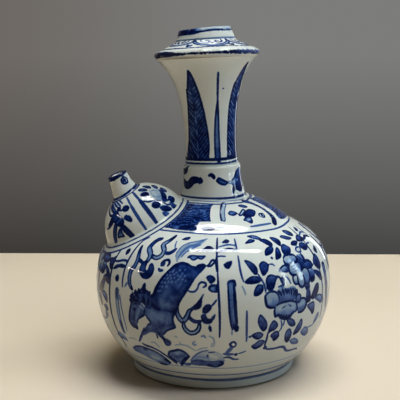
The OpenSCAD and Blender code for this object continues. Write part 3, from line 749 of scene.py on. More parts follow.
peony = {
    "settle": 0.5,
    "wash": [
        (0.9, 0.97, "-23.8,89.7 -21,91.6 -18.5,92.5 -15.5,91.5 -17,90.4 -20.5,89.8"),
        (0.55, 0.9, "-20,94.7 -16,95.3 -12.5,94.5 -9.5,92.3 -11,91.5 -14,92.2"),
        (0.9, 0.97, "-12,91.3 -9,91.8 -6,91.2 -3.8,89.3 -3.3,87.5 -4.8,86 -7.5,87.2 -10,89.5 / -12.6,81"
         " -11.8,83.5 -9.5,85.4 -6,86 -4.5,85 -6,82.8 -9,81.2 -11.5,80.8 / -6.5,78 -5,81 -3,84 -1,84.8"
         " -0.5,82.5 -1.2,79.5 -3,78.2 -5.5,77.6 / -2,91.5 0,92 3.5,90.7 5,88.8 4,86.8 1.5,85.5 / -27.5,79"
         " -24.5,78.3 -21.5,76 -20.4,73 -21.2,70.6 -23,70.8 -25,73.5 -26.5,76.5 / -18.7,75.5 -17,77.2"
         " -14.8,77.4 -12.8,75.6 -13.2,73.5 -15,71 -17.6,69.4 -18.6,71.5 / -29,66.5 -27.5,68.3 -24.5,69.6"
         " -21,69.2 -19,67.5 -21,66 -25,65.5 -28,65.9 / -16.5,66.5 -15,69 -12.5,69.6 -10,68.6 -9,67.8"
         " -10.5,65.5 -12,62.5 -14,61.2 -16,61.8 -16.4,64 / -24.3,59.2 -24,62 -22,64.6 -19.6,64.8 -18.4,63"
         " -19.6,60.5 -22,59"),
        (0.5, 0, "-17.8,58 -15.4,60.2 -12,60 -9.6,58.4 -9.2,55 -10.4,52.8 -13,51.5 -15.6,51.8 -17.4,53.4"),
        (0.6, 0, "-10.4,60.2 -6.6,62.8 -4,61 0,61.6 2.6,60.4 3.6,57.4 2.6,54 -2,53.2 -9,53.4 -9.8,56"),
        (0.53, 0, "-12,51.5 -12.3,48.6 -11.6,46 -9.6,46.6 -8.4,44.8 -5,43.5 -2.4,43.5 -0.6,44.8 0.6,46.2"
         " 2.6,46.8 3.2,49 2.4,51.8 -1,53.2 -5,53.4 -9,53 -11,52.4"),
        (0.7, 0.95, "2,53.2 3,55.6 5,56.4 6.5,55 6.6,52.6 5,51.2 3,51.4"),
        (0.58, 0, "6.6,53.4 9.4,52.8 11,51 10.8,48.4 9.4,46.4 7,45.3 4.4,45.5 3.2,47.4 3.4,50.4 5,51.4"),
        (0.36, 0, "-1.2,76.4 -0.6,78 1.6,79 4,78.8 6,77 5,74.6 1.6,73.6 -0.8,74.4"),
        (0.46, 0, "4.6,78.6 8,78.6 10.2,77 10,74.6 7.4,73.6 5,74.8"),
        (0.4, 0, "1.4,73.6 0.4,71 0.6,68.6 2.4,67.2 5.4,67 9,67.4 10.8,69 11.2,71.6 9.8,74 6,74.2"),
        (0.34, 0, "2,66.8 1.8,64.2 2.8,62.2 4.8,61.8 5.6,64 5.8,66.8"),
        (0.32, 0, "5.4,66.6 5.4,63 6,60.6 8,59.6 10.2,60.2 10.9,62.4 10.7,66 8.6,68"),
        (0.5, 0, "10.9,68.8 13,69.8 15.4,68.8 16.4,66 15.8,62.4 14,60.6 11.4,60.8 10.8,64"),
        (0.62, 0, "10.2,77.2 13,78 15.8,77.4 16.4,74.6 15.8,72 13.6,70 11,70.2 10.6,73.6"),
        (0.75, 0, "14.4,72.6 18,73.2 21,72.2 22.4,69.6 20,68.6 16.6,69 14.6,70"),
        (0.8, 0, "16.4,68.8 20,68.6 22,66.6 21.8,63.6 20.4,61 17,60.4 15.8,62.6 16.4,66"),
        (0.97, 0, "10.6,60 12.6,60.8 15,60.4 14.8,57.4 12.8,56.4 11,57.4"),
        (0.75, 0.95, "8,91 11,91.8 15,90.6 18.5,88.8 15,88 11,89"),
        (0.76, 0.95, "16,94.5 19,94.6 23,93 24.3,91 22,89.6 18.5,90.5 16.5,92.5"),
        (0.9, 0.97, "21.5,86.2 25,88.6 29,89 31.5,87 29.5,85 25,84.8 / 12.5,84.5 15,86.2 19,86.5 21,85.5"
         " 18,83.7 15,83.5 / 19.5,82.5 22,84 26,83.8 28,81.5 26,79.3 22,79.2 20.5,80.5 / 1,82 3,85.3 6,86"
         " 8.5,84 9.5,82.8 8,80.5 4.5,78.8 1.5,79.5"),
        (0.12, 0.85, "13,80.5 15,82.3 18.2,82.4 19,80.8 17.5,78.8 14.5,78.8"),
        (0.9, 0.97, "24,70.5 27,73.5 31,75 33,72 32,67 29,66 26,67.5"),
        (0.92, 0.97, "21.5,66.5 25,66 28.5,64 30.5,60 28,59.5 24.5,62.5"),
        (0.97, 0, "10.8,54 12,57.4 14.6,57 15.6,53 15,50 12,49.4 10.8,51"),
        (0.97, 0.97, "15.5,52 18,55.5 21.5,58.7 24.3,58.5 24.5,55.5 22,52 18,50.6"),
        (0.72, 0.88, "20,50.6 24,52 28.5,50.5 29,47 27.5,45.8 24,47.8"),
        (0.9, 0.92, "12.2,48 15,48.8 18.5,48.8 19.7,46 19.5,42.5 17.8,41.5 15.5,44 13,46.2"),
        (0.84, 0.92, "7.5,41 9,39.5 9.3,36 7.5,33 4,31.9 3,33 4,36 6,39 / -3,36 -1,37 1,35 1.8,32 1.2,28.5"
         " -0.5,27.8 -2.5,30 -3.5,33 / -4,43 -1,43 2,41 3.3,38.3 1,37.8 -2,39.5"),
        (0.66, 0.76, "9.8,33 12.5,35 16,33.5 18.3,30.3 16.5,28.3 13,29.5 10.5,31.3 / 21.5,35.5 23.5,39.5"
         " 25.5,40.8 26.8,38.5 25,36 / 2,28.5 5,29.5 9,27.5 11.5,24.5 9,24.3 5,25.5"),
        (0.84, 0.92, "-21,48.2 -19,46.6 -16.8,43.5 -16.5,40 -18,38.3 -19.5,39 -21.5,42 -22.2,45 / -15.3,37"
         " -14.8,41 -13,43.8 -11.5,43.4 -9.6,40.8 -10.8,38.5 -13.5,37.5 / -13.5,35 -11.5,37 -9,37 -7.8,34.5"
         " -8.2,32.5 -10.5,31 -12,33 / -25.2,36.2 -23.5,37.7 -20.5,38 -18.2,36.3 -19.5,34.2 -22,33.7"),
        (0.82, 0.9, "-24.5,29.5 -22,31.5 -20,33 -17,32.3 -17.5,29.5 -20,27.6 -22.3,27.2"),
        (0.42, 0.95, "-7.2,71 -5,72.8 -2.4,73.8 -0.4,73 0.2,70.6 -1.4,69.4 -4,69.8"),
    ],
    "shade": [
        (0.34, 2.6, "-15.6,57.6 -15.2,54.6"),
        (0.88, 1.8, "-7,59.6 -4,59.4 -1.6,59.6"),
        (0.34, 2.6, "-9.6,50 -4,50.6 0.4,49"),
        (0.97, 2.0, "-9,45.4 -5.4,44.2 -2.4,44.2 0.4,46"),
        (0.34, 2.4, "4.6,49.6 8.6,50"),
        (0.72, 2.4, "5,46.6 9,47.4"),
        (0.16, 3.0, "4.6,71.6 6.4,70 5,68.8"),
        # painted highlight: a near-white streak on the upper flower
        (0.05, 1.6, "4.9,65.2 7,67.8"),
        (0.62, 2.2, "9.4,72.6 10.4,69.4"),
        (0.97, 3.0, "17,62 19.6,62.4"),
        (0.3, 1.6, "16.4,67.8 18.4,68"),
        (0.92, 1.8, "-1.6,71 -0.4,70.6"),
    ],
    "line": [
        (1.6, 0.98, "-17.9,58.4 -17.6,55 -17,53 -15.4,51.8 -12.6,51.5 / 14.6,72.6 18,73.2 21,72.2 22.6,69.6"),
        (1.2, 0.92, "-17.6,58.6 -15.4,60.3 -12,60.2 -9.8,58.4 -9.2,55.4"),
        (1.4, 0.97, "-12,51.5 -12.4,48.6 -11.6,46 -9.6,46.7 -8.4,44.8 -5,43.5 -2.4,43.5 -0.6,44.8 /"
         " -11,52.4 -9,53.2 -5,53.6 -1,53.4 2,52"),
        (1.2, 0.95, "0.6,46.2 2.6,46.8 3.3,49 2.4,51.8 / -0.8,77.6 1.4,79 4,78.8 / 5.2,78.6 8,78.6 10.2,77"
         " / -15.5,37 -15.6,33 -16,30 -15.5,27.5"),
        (0.9, 0.8, "-7.6,50.2 -5.2,51.2 / -3,51.6 -1,50.2 / -8,43 -7.2,41 -7,38.5 -8.2,36.8 / -5.6,43"
         " -5.8,40"),
        (1.5, 0.98, "6.8,53.4 9.4,52.8 11.1,51 10.9,48.4 9.4,46.3 7,45.2 4.4,45.4 / 1.6,73.4 0.4,71"
         " 0.6,68.6 2.4,67.2 5.2,67 / 9.8,74 11.2,71.6 10.8,69.2 9.6,67.8 / 5.6,66 5.3,63 6,60.7 8,59.6"
         " 10.2,60.2 10.9,62.4 10.7,65.6"),
        (1.3, 0.98, "-8.6,44.8 -8,46.6 / -6.6,43.9 -6.2,45.8 / -4.8,43.5 -4.2,45.8 / -3,43.5 -2.6,45.6 /"
         " -1.2,44.4 -1,46.2"),
        (1.2, 0.98, "0.4,45.6 0.4,47 / -9.6,60.6 -8.2,58.8 -7.8,57.2 / -7,61.4 -6.2,59 -6,57.4 / -5,61"
         " -4.2,59.2 -4,57.8 / 3.5,59 3.6,56.8 2.4,54.4"),
        (1.1, 0.98, "-3.2,60.8 -2.6,59 -2.2,57.4 / -1.4,60.8 -0.6,58.6 -1,56.6 / 0.4,60.6 1.1,58 0.4,56 /"
         " 2,60 2.5,57.6 1.8,55.6"),
        (1.4, 0.98, "-1.2,76.4 -0.9,74.6 0.8,73.6 3.4,74.2 5.4,74.8"),
        (1.8, 0.98, "10,77 10.2,75 8.4,74 6.6,73.8 / 15.8,77.6 16.5,74.8 15.9,72.4"),
        (1.3, 0.95, "2,66.8 1.7,64.4 2.8,62.2 4.6,61.8"),
        (1.3, 0.97, "10.9,68.8 13,69.8 15.4,68.9 16.5,66 15.9,62.6 14,60.6 11.6,60.8 / 16.6,68.8 19.6,68.6"
         " 21.8,69.4 / -5.4,62.8 -6.6,65 -7.2,67 -8.8,68.4"),
        (1.1, 0.92, "10.8,75.6 14.6,71 / 11.6,77.2 15.8,72.6 / -5,63.4 -5,65.6 -5.8,67.4"),
        (1.1, 0.88, "10.8,73.6 13.2,70.4"),
        (0.9, 0.5, "3,71.8 6.6,72.6"),
        (0.9, 0.45, "3,70.2 7,71.2 / 3.6,68.8 7.4,69.6"),
        (1.0, 0.85, "-9.4,62.4 -7.4,62.8 -5.6,62.8"),
        (1.0, 0.7, "-3.4,67.8 -1.6,65.6 -0.6,63"),
        (0.9, 0.85, "-20.5,70.5 -18.8,67 -17.6,64 -17.4,60"),
        (0.9, 0.75, "-12.3,75.5 -10,75.3 -8.8,74.2"),
        (1.6, 0.9, "-9.2,79.2 -8.6,78.7"),
        (2.4, 0.95, "-15.8,27.4 -15.2,27.2"),
        (1.6, 0.85, "-15,27 -13.5,26 -9,25.5 -4,25.6 -1,24.5 2,21.5 6,20.3 12,20 14,19"),
        (1.0, 0.6, "15,34 20,34 24,35.5"),
        (1.4, 0.9, "-26.4,36 -25.8,35.6"),
    ],
}
cartouche = {
    "wash": [
        (0.85, 0.97, "-28.4,114 -25,116.2 -21,116.4 -16.4,114.6 -19,112.6 -23,111.8 -26.5,112.4"),
        (0.7, 0.97, "-16.6,111.8 -12,114.6 -6,117 -3,117.4 -2,116 -8,113 -14,111.2"),
        (0.88, 0.98, "-11.4,111 -4,114.6 3,116.4 9,115.8 11.4,114 6,111.2 0,109.4 -6,109.8"),
        (0.85, 0.98, "-14.8,107.2 -10,109.6 -4,109.8 -4.6,106.4 -8,103.8 -10.4,104.4 -12.4,106.2"),
        (0.75, 0.92, "-6.6,120.8 -2,122 4,121.4 8.2,119.4 4,118.2 -1,118.6"),
        (0.35, 0.98, "8.4,108.8 11,110.8 15,111 18.6,110.2 16,107.6 13,106.6 10,107.2"),
    ],
    "band": [
        (6.0, 0.36, 0.85, "-35.6,108 -35.4,113 -33.6,118 -30.6,121.6 -26,124.4"),
        (6.4, 0.95, 0, "13,124.6 20,123.6 25,121 28.4,117 29,113 28,108.6 25,105 21,102"),
    ],
    "shade": [
        (0.6, 2.0, "-25,114 -20,114.6"),
        (0.25, 1.8, "-12.6,113 -5.6,116"),
        (0.3, 2.0, "-10,107 -7,107.6"),
        (0.98, 2.4, "-8,110.8 0,111 7,113.4"),
    ],
    "line": [
        (3.8, 1.0, "23.6,104 21,102.4 18.4,101 15.4,99.8"),
        (1.6, 0.65, "-12,101.2 0,101.4 13,101.2"),
        (1.6, 0.95, "12,108.6 15,109.4"),
        (2.4, 0.97, "-38.2,108 -37.8,113 -36,118.6 -33.4,122.4 -30,125"),
        (1.0, 0.9, "-4,110.8 6,114.6"),
        (1.2, 0.95, "-17.4,114.4 -15.6,113"),
    ],
}
block = {
    "spoutEnd": "-30.5,100 -31,110 -28,117 -30,123.4",
    "leftEnd": "-22,99.6 -31,100.8 -34,102.8 -31,105 -27.4,106.6 -25,110 -23.4,117 -24.6,123.4",
    "rest": " -10,123.4 10,123.4 26,123.8 34,124 30.4,121.5 29.2,118 29.2,113 29.9,109 30.9,107.2 26.4,107"
            " 20.4,106.8 18.9,106 18.4,103.5 18.9,101 17.4,99 6,98.6 -8,99",
    "hatchFrom": 98.6,
}
leafStroke = {
    "wash": [
        (0.95, 0, "22,101 26,102.6 31,102.4 35,101 31,99.2 26,99.2"),
    ],
    "line": [
        (0.9, 0.7, "33,101 38,101.6 43,101.4"),
    ],
}
# three rounds of panels: the middles in degrees from the front, the rest in mm
panels = {
    "horse": -21.75, "peony": 38.25, "border": 8.25, "otherBorder": 68.25, "block": -27.0, "rounds": 3,
    "near": 46, "nearBlock": 60, "careful": 0.15, "careless": 1.0,
    "strip": 6.4, "stripMid": 0.4, "stripV": (20, 92),
    "sink": 0.7, "sinkBelow": 72, "sinkFade": 30, "capDown": 1,
    "dip": 1.4, "dipAbove": 88, "dipFade": 8, "dipTurn": (45, 25, 100, 30),
}


def paintBody(points, upper=None):
    angle, z, r = measured(points)
    v = bodyHeight(z)
    dip = panels["dip"] * swell(angle, *panels["dipTurn"])
    v = v - dip * smooth((v - panels["dipAbove"]) / panels["dipFade"])
    outside = r > np.where(z < bellyZ, lowerR(z.clip(footH)), shoulderR(z)) - body["skinDeep"]
    outside &= z > body["paintFrom"]
    everywhere = np.flatnonzero(outside)
    sink = panels["sink"] * smooth((panels["sinkBelow"] - v) / panels["sinkFade"])
    reach = np.where(outside, v - sink, np.nan)
    onCap = reach - panels["capDown"]
    brush = Brush(len(v))
    for k in range(panels["rounds"]):
        turn = 360 / panels["rounds"] * k
        hand = panels["careful" if k == 0 else "careless"]
        lastBorder = borderLeft if k == 2 else border  # the one beside the front was painted more carefully
        for motif, middle, seed in ((horse, "horse", 5), (peony, "peony", 5), (border, "border", 6),
                                    (lastBorder, "otherBorder", 66)):
            x = sideways(angle, panels[middle] + turn, bellyR)
            if motif is borderLeft:
                hand = panels["careful"]
                (low, high), inStrip = panels["stripV"], np.abs(x - panels["stripMid"]) < panels["strip"]
                brush.wipe(np.flatnonzero(inStrip & outside & (v > low) & (v < high)), unpainted, unpainted)
            brush.aim(x, reach, panels["near"], hand, 10 * k + seed)
            brush.paint(motif)
        if upper is not None:
            hand = panels["careful" if k == 0 else "careless"]
            x = sideways(angle, panels["block"] + turn, bellyR)
            brush.aim(x, onCap, panels["nearBlock"], hand, 40 + k)
            brush.paint({"wash": [(1.0, 0, block["spoutEnd" if k == 0 else "leftEnd"] + block["rest"])]})
            inside = brush.pick[brush.washGap[brush.pick] < 0.5]
            brush.hatch[inside[v[inside] > block["hatchFrom"]]] = 1
            brush.paint(leafStroke)
            x = sideways(angle, panels["peony"] + turn, bellyR)
            brush.aim(x, onCap, panels["near"], hand, 50 + k)
            brush.paint(cartouche)
    rings, free = body["lowRings"], np.zeros(len(v))
    if upper is not None:
        # the two rings round the spout's foot stop the other painting
        fromBulb = np.linalg.norm(upper.reshape(-1, 3) - bulbCentre, axis=1) - spout["bulbR"]
        clear = np.flatnonzero(outside & (fromBulb < spout["washClear"]))
        near = fromBulb[clear]
        brush.wipe(clear, unpainted * (near < spout["lineClear"]), spout["washClear"] - near)
        for away in spout["rings"]:
            brush.ring(everywhere, fromBulb - away, spout["ringWide"], spout["ringTone"])
        rings, free = body["highRings"], np.where(fromBulb > spout["rings"][1], 0, unpainted)
    unsteady = waver(angle, (0.25, 3, 0), (0.15, 7, 40))
    for high, wide, tone in rings:
        brush.ink(everywhere, (np.abs(v + unsteady - high) - wide / 2 + free)[everywhere], tone)
    brush.pool = (bump(v, -0.6, 2.4) + np.clip((v - 125) / 4, 0, 1)) * outside  # at the foot and the neck
    brush.bare = np.clip(body["bareTo"] - z, 0, 1)
    return brush


spout = {
    "bulbR": 25.0, "drop": 16.5, "gap": 0.5, "bead": 1, "wall": 3, "tilt": 32.5, "fillet": 4.4,
    "columns": 480, "rows": 104, "innerRows": 16,
    # the nipple
    "lean": 23, "footR": 7.2, "rimR": 5.6, "tall": 10.8, "boreR": 3, "skirt": 1.9, "nippleColumns": 200,
    "rosetteR": 6.2, "rosetteTurn": 66, "rimBand": 1.5, "rimLop": 0.8, "rimWorn": 0.35,
    # the painted rings round the bulb's foot, and how far from it they keep the body clear
    "rings": (1.6, 4.7), "ringWide": 1.0, "ringTone": 0.85,
    "lineClear": 5.2, "washClear": 5.5, "bulbClear": 2.6, "topRing": 9.3,
}
bulbR, boreN = spout["bulbR"], spout["boreR"]
bulbX = -(seatR + spout["gap"] + math.sqrt((bulbR + spout["bead"]) ** 2 - spout["drop"] ** 2))
bulbCentre = np.array([bulbX, 0, shoulderZ - spout["drop"]])

# how the thrower finished the shoulder: start, rise, end and fall of a swelling by radius, and its height, mm
shoulder = {
    "cap": (18, 7, 31, 15), "capUp": 1.7, "side": (51, 9.5, 67.4, 2.6), "sideUp": 1.5,
    "stepR": 46.6, "stepWide": 2.9, "stepDown": 0.95, "clear": 5, "fade": 7, "sight": 0.2,
}


def plainZ(r):
    return bellyZ + (rise + glazeT) * np.clip(1 - r / (bellyR + glazeT), 0, 1) ** (1 / power)


def plainSteep(r):
    away = np.clip(1 - r / (bellyR + glazeT), 1e-6, 1)
    return (rise + glazeT) / (bellyR + glazeT) / power * away ** (1 / power - 1)


def shoulderLift(r):
    # a domed cap, a soft step below it and a fuller side, mm up from the plain curve
    step = np.exp(-((r - shoulder["stepR"]) / shoulder["stepWide"]) ** 2)
    cap, side = swell(r, *shoulder["cap"]), swell(r, *shoulder["side"])
    return shoulder["capUp"] * cap - shoulder["stepDown"] * step + shoulder["sideUp"] * side


bodyOutline = np.concatenate([
    [[footR, 0.9], [footR + glazeT, 1.5], [footR + glazeT, footH]],
    [[lowerR(z, glazeT), z] for z in np.linspace(footH + 0.4, bellyZ, 80)],
    [[shoulderR(z, glazeT), z] for z in np.linspace(bellyZ, shoulderZ, 300)[1:]],
])
seamR, lip = bellyR + glazeT, bellyR + lapT
seamLow, seamHigh = bellyZ - joint / 2, bellyZ + joint / 2

recess, recessR, knock = body["recess"], footR - body["footWall"], body["knock"]
under = soften([[body["middleR"], recess], [recessR - 1, recess], [recessR, recess - 1], [recessR, knock],
                [recessR + knock, 0], [footR - knock, 0], [footR, knock]], 1.2, 0.25)
innerZ = np.linspace(seamLow, recess + body["base"], body["innerRows"])
innerLow = [[lowerR(z, -body["wall"]), z] for z in innerZ] + [[body["middleR"], innerZ[-1]]]
lowSkin = soften(bodyOutline, body["lowerRow"], body["ease"])
lowSkin = lowSkin[lowSkin[:, 1] < bellyZ - 0.2]
lowRows = np.concatenate([under, lowSkin, [[seamR, bellyZ], [lip, bellyZ], [lip, seamLow]], innerLow])
lowPoints = turned(lowRows, body["lowerColumns"])
seam = len(under) + len(lowSkin)
lowerBody = clayPiece("body_lower", lowPoints, (seam, seam + 1, seam + 2), False)
finishPiece(lowerBody, paintBody(lowPoints), "lower_body")

upSkin = soften(bodyOutline, body["upperRow"], body["ease"])
upSkin = upSkin[upSkin[:, 1] > bellyZ + 0.3]
innerZ = np.linspace(shoulderZ - body["wall"], seamHigh, body["innerRows"])
innerHigh = [[shoulderR(z, -body["wall"]), z] for z in innerZ] + [[lip, seamHigh], [lip, bellyZ]]
upRows = np.concatenate([[[seamR, bellyZ]], upSkin, [[body["boreR"], shoulderZ - 0.02]], innerHigh])
upPoints = turned(upRows, body["upperColumns"])
skin, skinR = slice(1, len(upSkin) + 1), upSkin[:, :1]
fromBulb = np.linalg.norm(upPoints[skin] - bulbCentre, axis=2) - bulbR
lift = shoulderLift(skinR) * smooth((fromBulb - shoulder["clear"]) / shoulder["fade"])

# the painting lies on the plain curve as it is met along the line of sight
upFlat = upPoints.copy()
away = np.radians(facing(upPoints[skin]))
ahead = np.clip(np.abs(np.cos(away)), 0.3, 1)
along = lift / (plainSteep(skinR) * ahead + shoulder["sight"])
swing = along * np.sin(away) * (1 - smooth((np.abs(away) - 1.1) / 0.9)) / skinR
flatR, flatTurn = skinR + 0 * along, np.arctan2(upPoints[skin, :, 1], upPoints[skin, :, 0]) + swing
flatZ = plainZ(skinR - along * ahead)
upFlat[skin] = np.stack([flatR * np.cos(flatTurn), flatR * np.sin(flatTurn), flatZ], 2)
upPoints[skin, :, 2] += lift
upperBody = clayPiece("body_upper", upPoints, (0, -1, -2, len(upSkin), len(upSkin) + 1))
finishPiece(upperBody, paintBody(upFlat, upPoints), "upper_body")

# neck, leaning towards the spout

neck = {
    "lowH": 18.3, "ridgeR": 16.6, "bevel": 0.4, "upH": 61.4, "footR": 15.4, "waistR": 14.8, "waistUp": 11,
    "ease": 0.55, "wall": 3.2, "topWall": 4.8, "lean": 2.7, "topR": 29.5, "boreR": 12.8,
    "sag": 0.04, "sagFrom": 148, "sagRun": 36, "columns": 480, "row": 0.42,
    # painted rings: height, width and tone; where the glaze pools: height and reach
    "lowRings": [(104.0, 1.0, 0.93)], "lowPool": (103, 2),
    "upRings": [(123.7, 1.0, 0.9), (126.1, 1.6, 0.98)], "upPool": (122.6, 1.6),
}
ridgeR, stemR, waistR, topR = neck["ridgeR"], neck["footR"], neck["waistR"], neck["topR"]
neckZ = shoulderZ + joint
ridgeZ = neckZ + neck["lowH"]
upZ = ridgeZ + joint
topZ = upZ + neck["upH"]
ridgeMid, flangeMid = ridgeZ + joint / 2, topZ + joint / 2


def trumpet(up, inward=0.0, topInward=0.0):
    foot, waist, top, bend = stemR - inward, waistR - inward, topR - topInward, neck["waistUp"]
    s = np.clip((up - bend) / (neck["upH"] - bend), 0, 1)
    below = waist + (foot - waist) * np.clip(1 - up / bend, 0, 1) ** 2
    flare = neck["ease"] * s ** 2 + (1 - neck["ease"]) * s ** 6
    return np.where(up < bend, below, waist + (top - waist) * flare)


neckRibbon = {
    "wash": [
        (0.8, 0, "9.2,113.3 11.2,113.3 13.3,114.5 15.1,116.5 16.8,118.3 20.3,119.8 23,118.6 23.4,112"
         " 22.6,108.6 20.9,107.8 19.1,106.8 17.7,106.2 16.2,107 14.5,107.8 12.9,107.2 11.6,105.6 10.6,105.7"
         " 11,108 11.9,110 10.7,111.2 9.2,111.5"),
        (0.93, 0.98, "2,114 3.4,115.8 5.8,114.7 8.2,113.2 9.2,112.4 7.2,111.1 4.6,111.5 2.6,113"),
    ],
    "shade": [
        (0.3, 2.8, "9,112.4 11,112.4 13,112.6"),
        (1.0, 4.0, "11.2,106.4 12.6,108.6 16,108.8 18.2,107.6 21,108.8"),
        (0.5, 1.4, "13.6,113.4 16.4,113"),
        (0.66, 0.9, "4,113.6 7.4,112.2"),
    ],
    "line": [
        (1.2, 0.9, "12,113.6 13.3,114.5 15.1,116.4 16.8,118.2 20.3,119.6"),
        (1.2, 0.97, "11,106 12.8,108 14.5,107.8 17.7,106.5 20.9,108"),
        (4.6, 0.98, "-21,112.8 -19.4,111.6 -16.6,110.9 -14.4,112 -12.4,114 -10,114.6 -8,114.5"),
        (1.6, 0.97, "-7.6,112.8 -6.2,114 -7,115.8"),
        (3.4, 0.98, "-25.6,118 -21.4,118.4 -18.4,119.6 -17.2,121.2"),
        (2.2, 0.98, "-1.8,117.2 -0.6,117.5 0.5,116.6 0.9,115.6"),
    ],
}
plantain = {
    "left": "0.4,177 -0.6,174 -2.8,166.6 -3.4,166 -4.9,156 -6.2,148 -7.5,138 -9.4,131 -10.1,126.2",
    "narrow": "0.4,177 -0.6,174 -2.8,166.6 -3.4,166 -4.9,156 -5.2,148 -5.5,138 -5.9,131 -6.2,126.2",
    "right": " -4,126 5.4,126.2 6.2,128.5 6.7,133 6.5,140 5.7,147 4.7,155 3.2,164 1.6,173",
    "turn": -29, "lastTurn": -8, "tone": 0.94, "near": 16, "taller": 3.0, "footZ": 126, "tall": 50,
    "ribWide": 0.9, "ribTo": 154, "ribAside": 0.3,
    "veinEvery": 2.7, "veinSlope": 1.3, "veinPale": 0.5, "rightPale": 0.62,
}
spike = {
    "wash": [
        (0.62, 0.97, "0.3,162 0.8,157 1.1,150 1.3,140 1.4,130 1,125.5 -1.6,125.5 -1.9,128 -1.7,140 -0.9,152"
         " -0.2,158"),
    ],
    "line": [
        (0.9, 0.94, "0,175 0.15,168 0.3,159"),
        (1.6, 0.95, "-0.5,125.4 0.6,124.6"),
    ],
}
spikeTurn = {"turn": 15, "lastTurn": -21, "near": 6}
stray = {"run": "-0.1,166 0.2,166.2", "turn": 26, "near": 4, "wide": 0.7, "tone": 0.8}


def ringNeck(brush, angle, z, outside, which):
    at, unsteady = np.flatnonzero(outside), waver(angle, (0.15, 3, 0))
    for high, wide, tone in neck[which + "Rings"]:
        brush.ring(at, z + unsteady - high, wide, tone)
    brush.pool = bump(z, *neck[which + "Pool"]) * outside
    return brush


def paintLowerNeck(points):
    angle, z, r = measured(points)
    brush = Brush(len(z))
    outside = (r > ridgeR - 1.6) & (z > shoulderZ - 1)
    reach = np.where(outside, z, np.nan)
    for k in range(2):
        brush.aim(sideways(angle, 180 * k, ridgeR), reach, 26, 0.1 + 0.4 * k, 70 + k)
        brush.paint(neckRibbon)
    return ringNeck(brush, angle, z, outside, "low")


def leafVeins(side, up, k):
    # a pale rib and veins left between the strokes; some veins were painted over
    slant = (up - plantain["veinSlope"] * np.abs(side)) * 2 * math.pi / plantain["veinEvery"]
    vein = np.clip(np.sin(slant) * 2 - 0.6, 0, 1) * (np.abs(side) > 0.8)
    vein = np.maximum(vein, (np.abs(side) < plantain["ribWide"] / 2) * (up < plantain["ribTo"]))
    fresh = 0.68 + 0.32 * np.sin(0.9 * up + 1.7 * side + 2 * k)
    return plantain["veinPale"] * vein * np.where(side < 0, 1, plantain["rightPale"]) * fresh


def paintUpperNeck(points):
    angle, z, r = measured(points)
    brush = Brush(len(z))
    outside = r > trumpet(z - upZ) - 1.2
    reach = np.where(outside, z, np.nan)
    for k in range(4):
        hand, last = 0.1 + 0.15 * (k > 0), k == 3
        x = sideways(angle, plantain["turn"] + 90 * k + plantain["lastTurn"] * last, waistR)
        taller = plantain["taller"] * (k == 1) * np.clip((z - plantain["footZ"]) / plantain["tall"], 0, 1)
        brush.aim(x, reach - taller, plantain["near"], hand, 80 + k)
        leafRun = plantain["narrow" if k == 1 else "left"] + plantain["right"]
        brush.paint({"wash": [(plantain["tone"], 1.0, leafRun)]})
        inside = brush.pick[(brush.washGap[brush.pick] < -0.5) & (np.abs(x[brush.pick]) < 10.2)]
        brush.washTone[inside] -= leafVeins(x[inside] + plantain["ribAside"], z[inside], k)
        turn = spikeTurn["turn"] + 90 * k + spikeTurn["lastTurn"] * last
        brush.aim(sideways(angle, turn, waistR), reach, spikeTurn["near"], hand, 90 + k)
        brush.paint(spike)
    brush.aim(sideways(angle, stray["turn"], waistR), reach, stray["near"])
    brush.line(stray["run"], stray["wide"], stray["tone"])
    return ringNeck(brush, angle, z, outside, "up")


def sagged(points):
    # the wide mouth sank a little towards the back in the kiln
    a = math.radians(view["turn"])
    front = -(points[..., 0] * math.sin(a) + points[..., 1] * math.cos(a))
    wide = np.hypot(points[..., 0], points[..., 1]) / topR
    out = points.copy()
    out[..., 2] += neck["sag"] * smooth((points[..., 2] - neck["sagFrom"]) / neck["sagRun"]) * front * wide
    return out


def leaning(points):
    return sagged(tipped(points, neckZ, neck["lean"]))


lowNeckOutline = [[seatR + 2.4, shoulderZ - 1.2], [seatR + 1.2, shoulderZ - 0.1], [seatR + 0.35, neckZ + 0.3]]
lowNeckOutline += [[coveR(u, seatR, ridgeR) + glazeT, neckZ + u * (neck["lowH"] - neck["bevel"])]
                   for u in np.linspace(0.08, 1, 24)]
lowNeckOutline += [[ridgeR - 0.1, ridgeZ - 0.05], [stemR + 0.25, ridgeZ + 0.12], [stemR + 0.15, ridgeMid]]
lowNeckSkin = soften(lowNeckOutline, neck["row"], 0.28)
lowNeckBore = [[neck["boreR"], ridgeZ], [neck["boreR"], neckZ - 0.4], [seatR - 1, neckZ - 0.4]]
lowNeckRows = np.concatenate([lowNeckSkin, lowNeckBore])
lowNeckFlat = turned(lowNeckRows, neck["columns"])
# the foot stays level on the shoulder
lowNeckLean = neck["lean"] * smooth((lowNeckRows[:, 1] - shoulderZ + 1) / 6)
top = len(lowNeckSkin)
lowerNeck = clayPiece("neck_lower", tipped(lowNeckFlat, neckZ, lowNeckLean), (top - 1, top))
finishPiece(lowerNeck, paintLowerNeck(lowNeckFlat), "lower_neck")

upNeckOutline = [[stemR + 0.15, ridgeMid], [stemR + glazeT, upZ + 0.3]]
upNeckOutline += [[trumpet(up) + glazeT, upZ + up] for up in np.linspace(1.2, neck["upH"], 60)]
upNeckOutline += [[topR + glazeT, flangeMid]]
upNeckSkin = soften(upNeckOutline, neck["row"], 0.25)
upNeckBore = [[trumpet(up, neck["wall"], neck["topWall"]), upZ + up]
              for up in np.linspace(neck["upH"], 0, 24)]
upNeckRows = np.concatenate([upNeckSkin, [[topR + lapT, flangeMid], [topR + lapT, topZ]], upNeckBore])
upNeckFlat = turned(upNeckRows, neck["columns"])
top = len(upNeckSkin)
upperNeck = clayPiece("neck_upper", leaning(upNeckFlat), (top - 1, top, top + 1, -1, 0))
finishPiece(upperNeck, paintUpperNeck(upNeckFlat), "upper_neck")

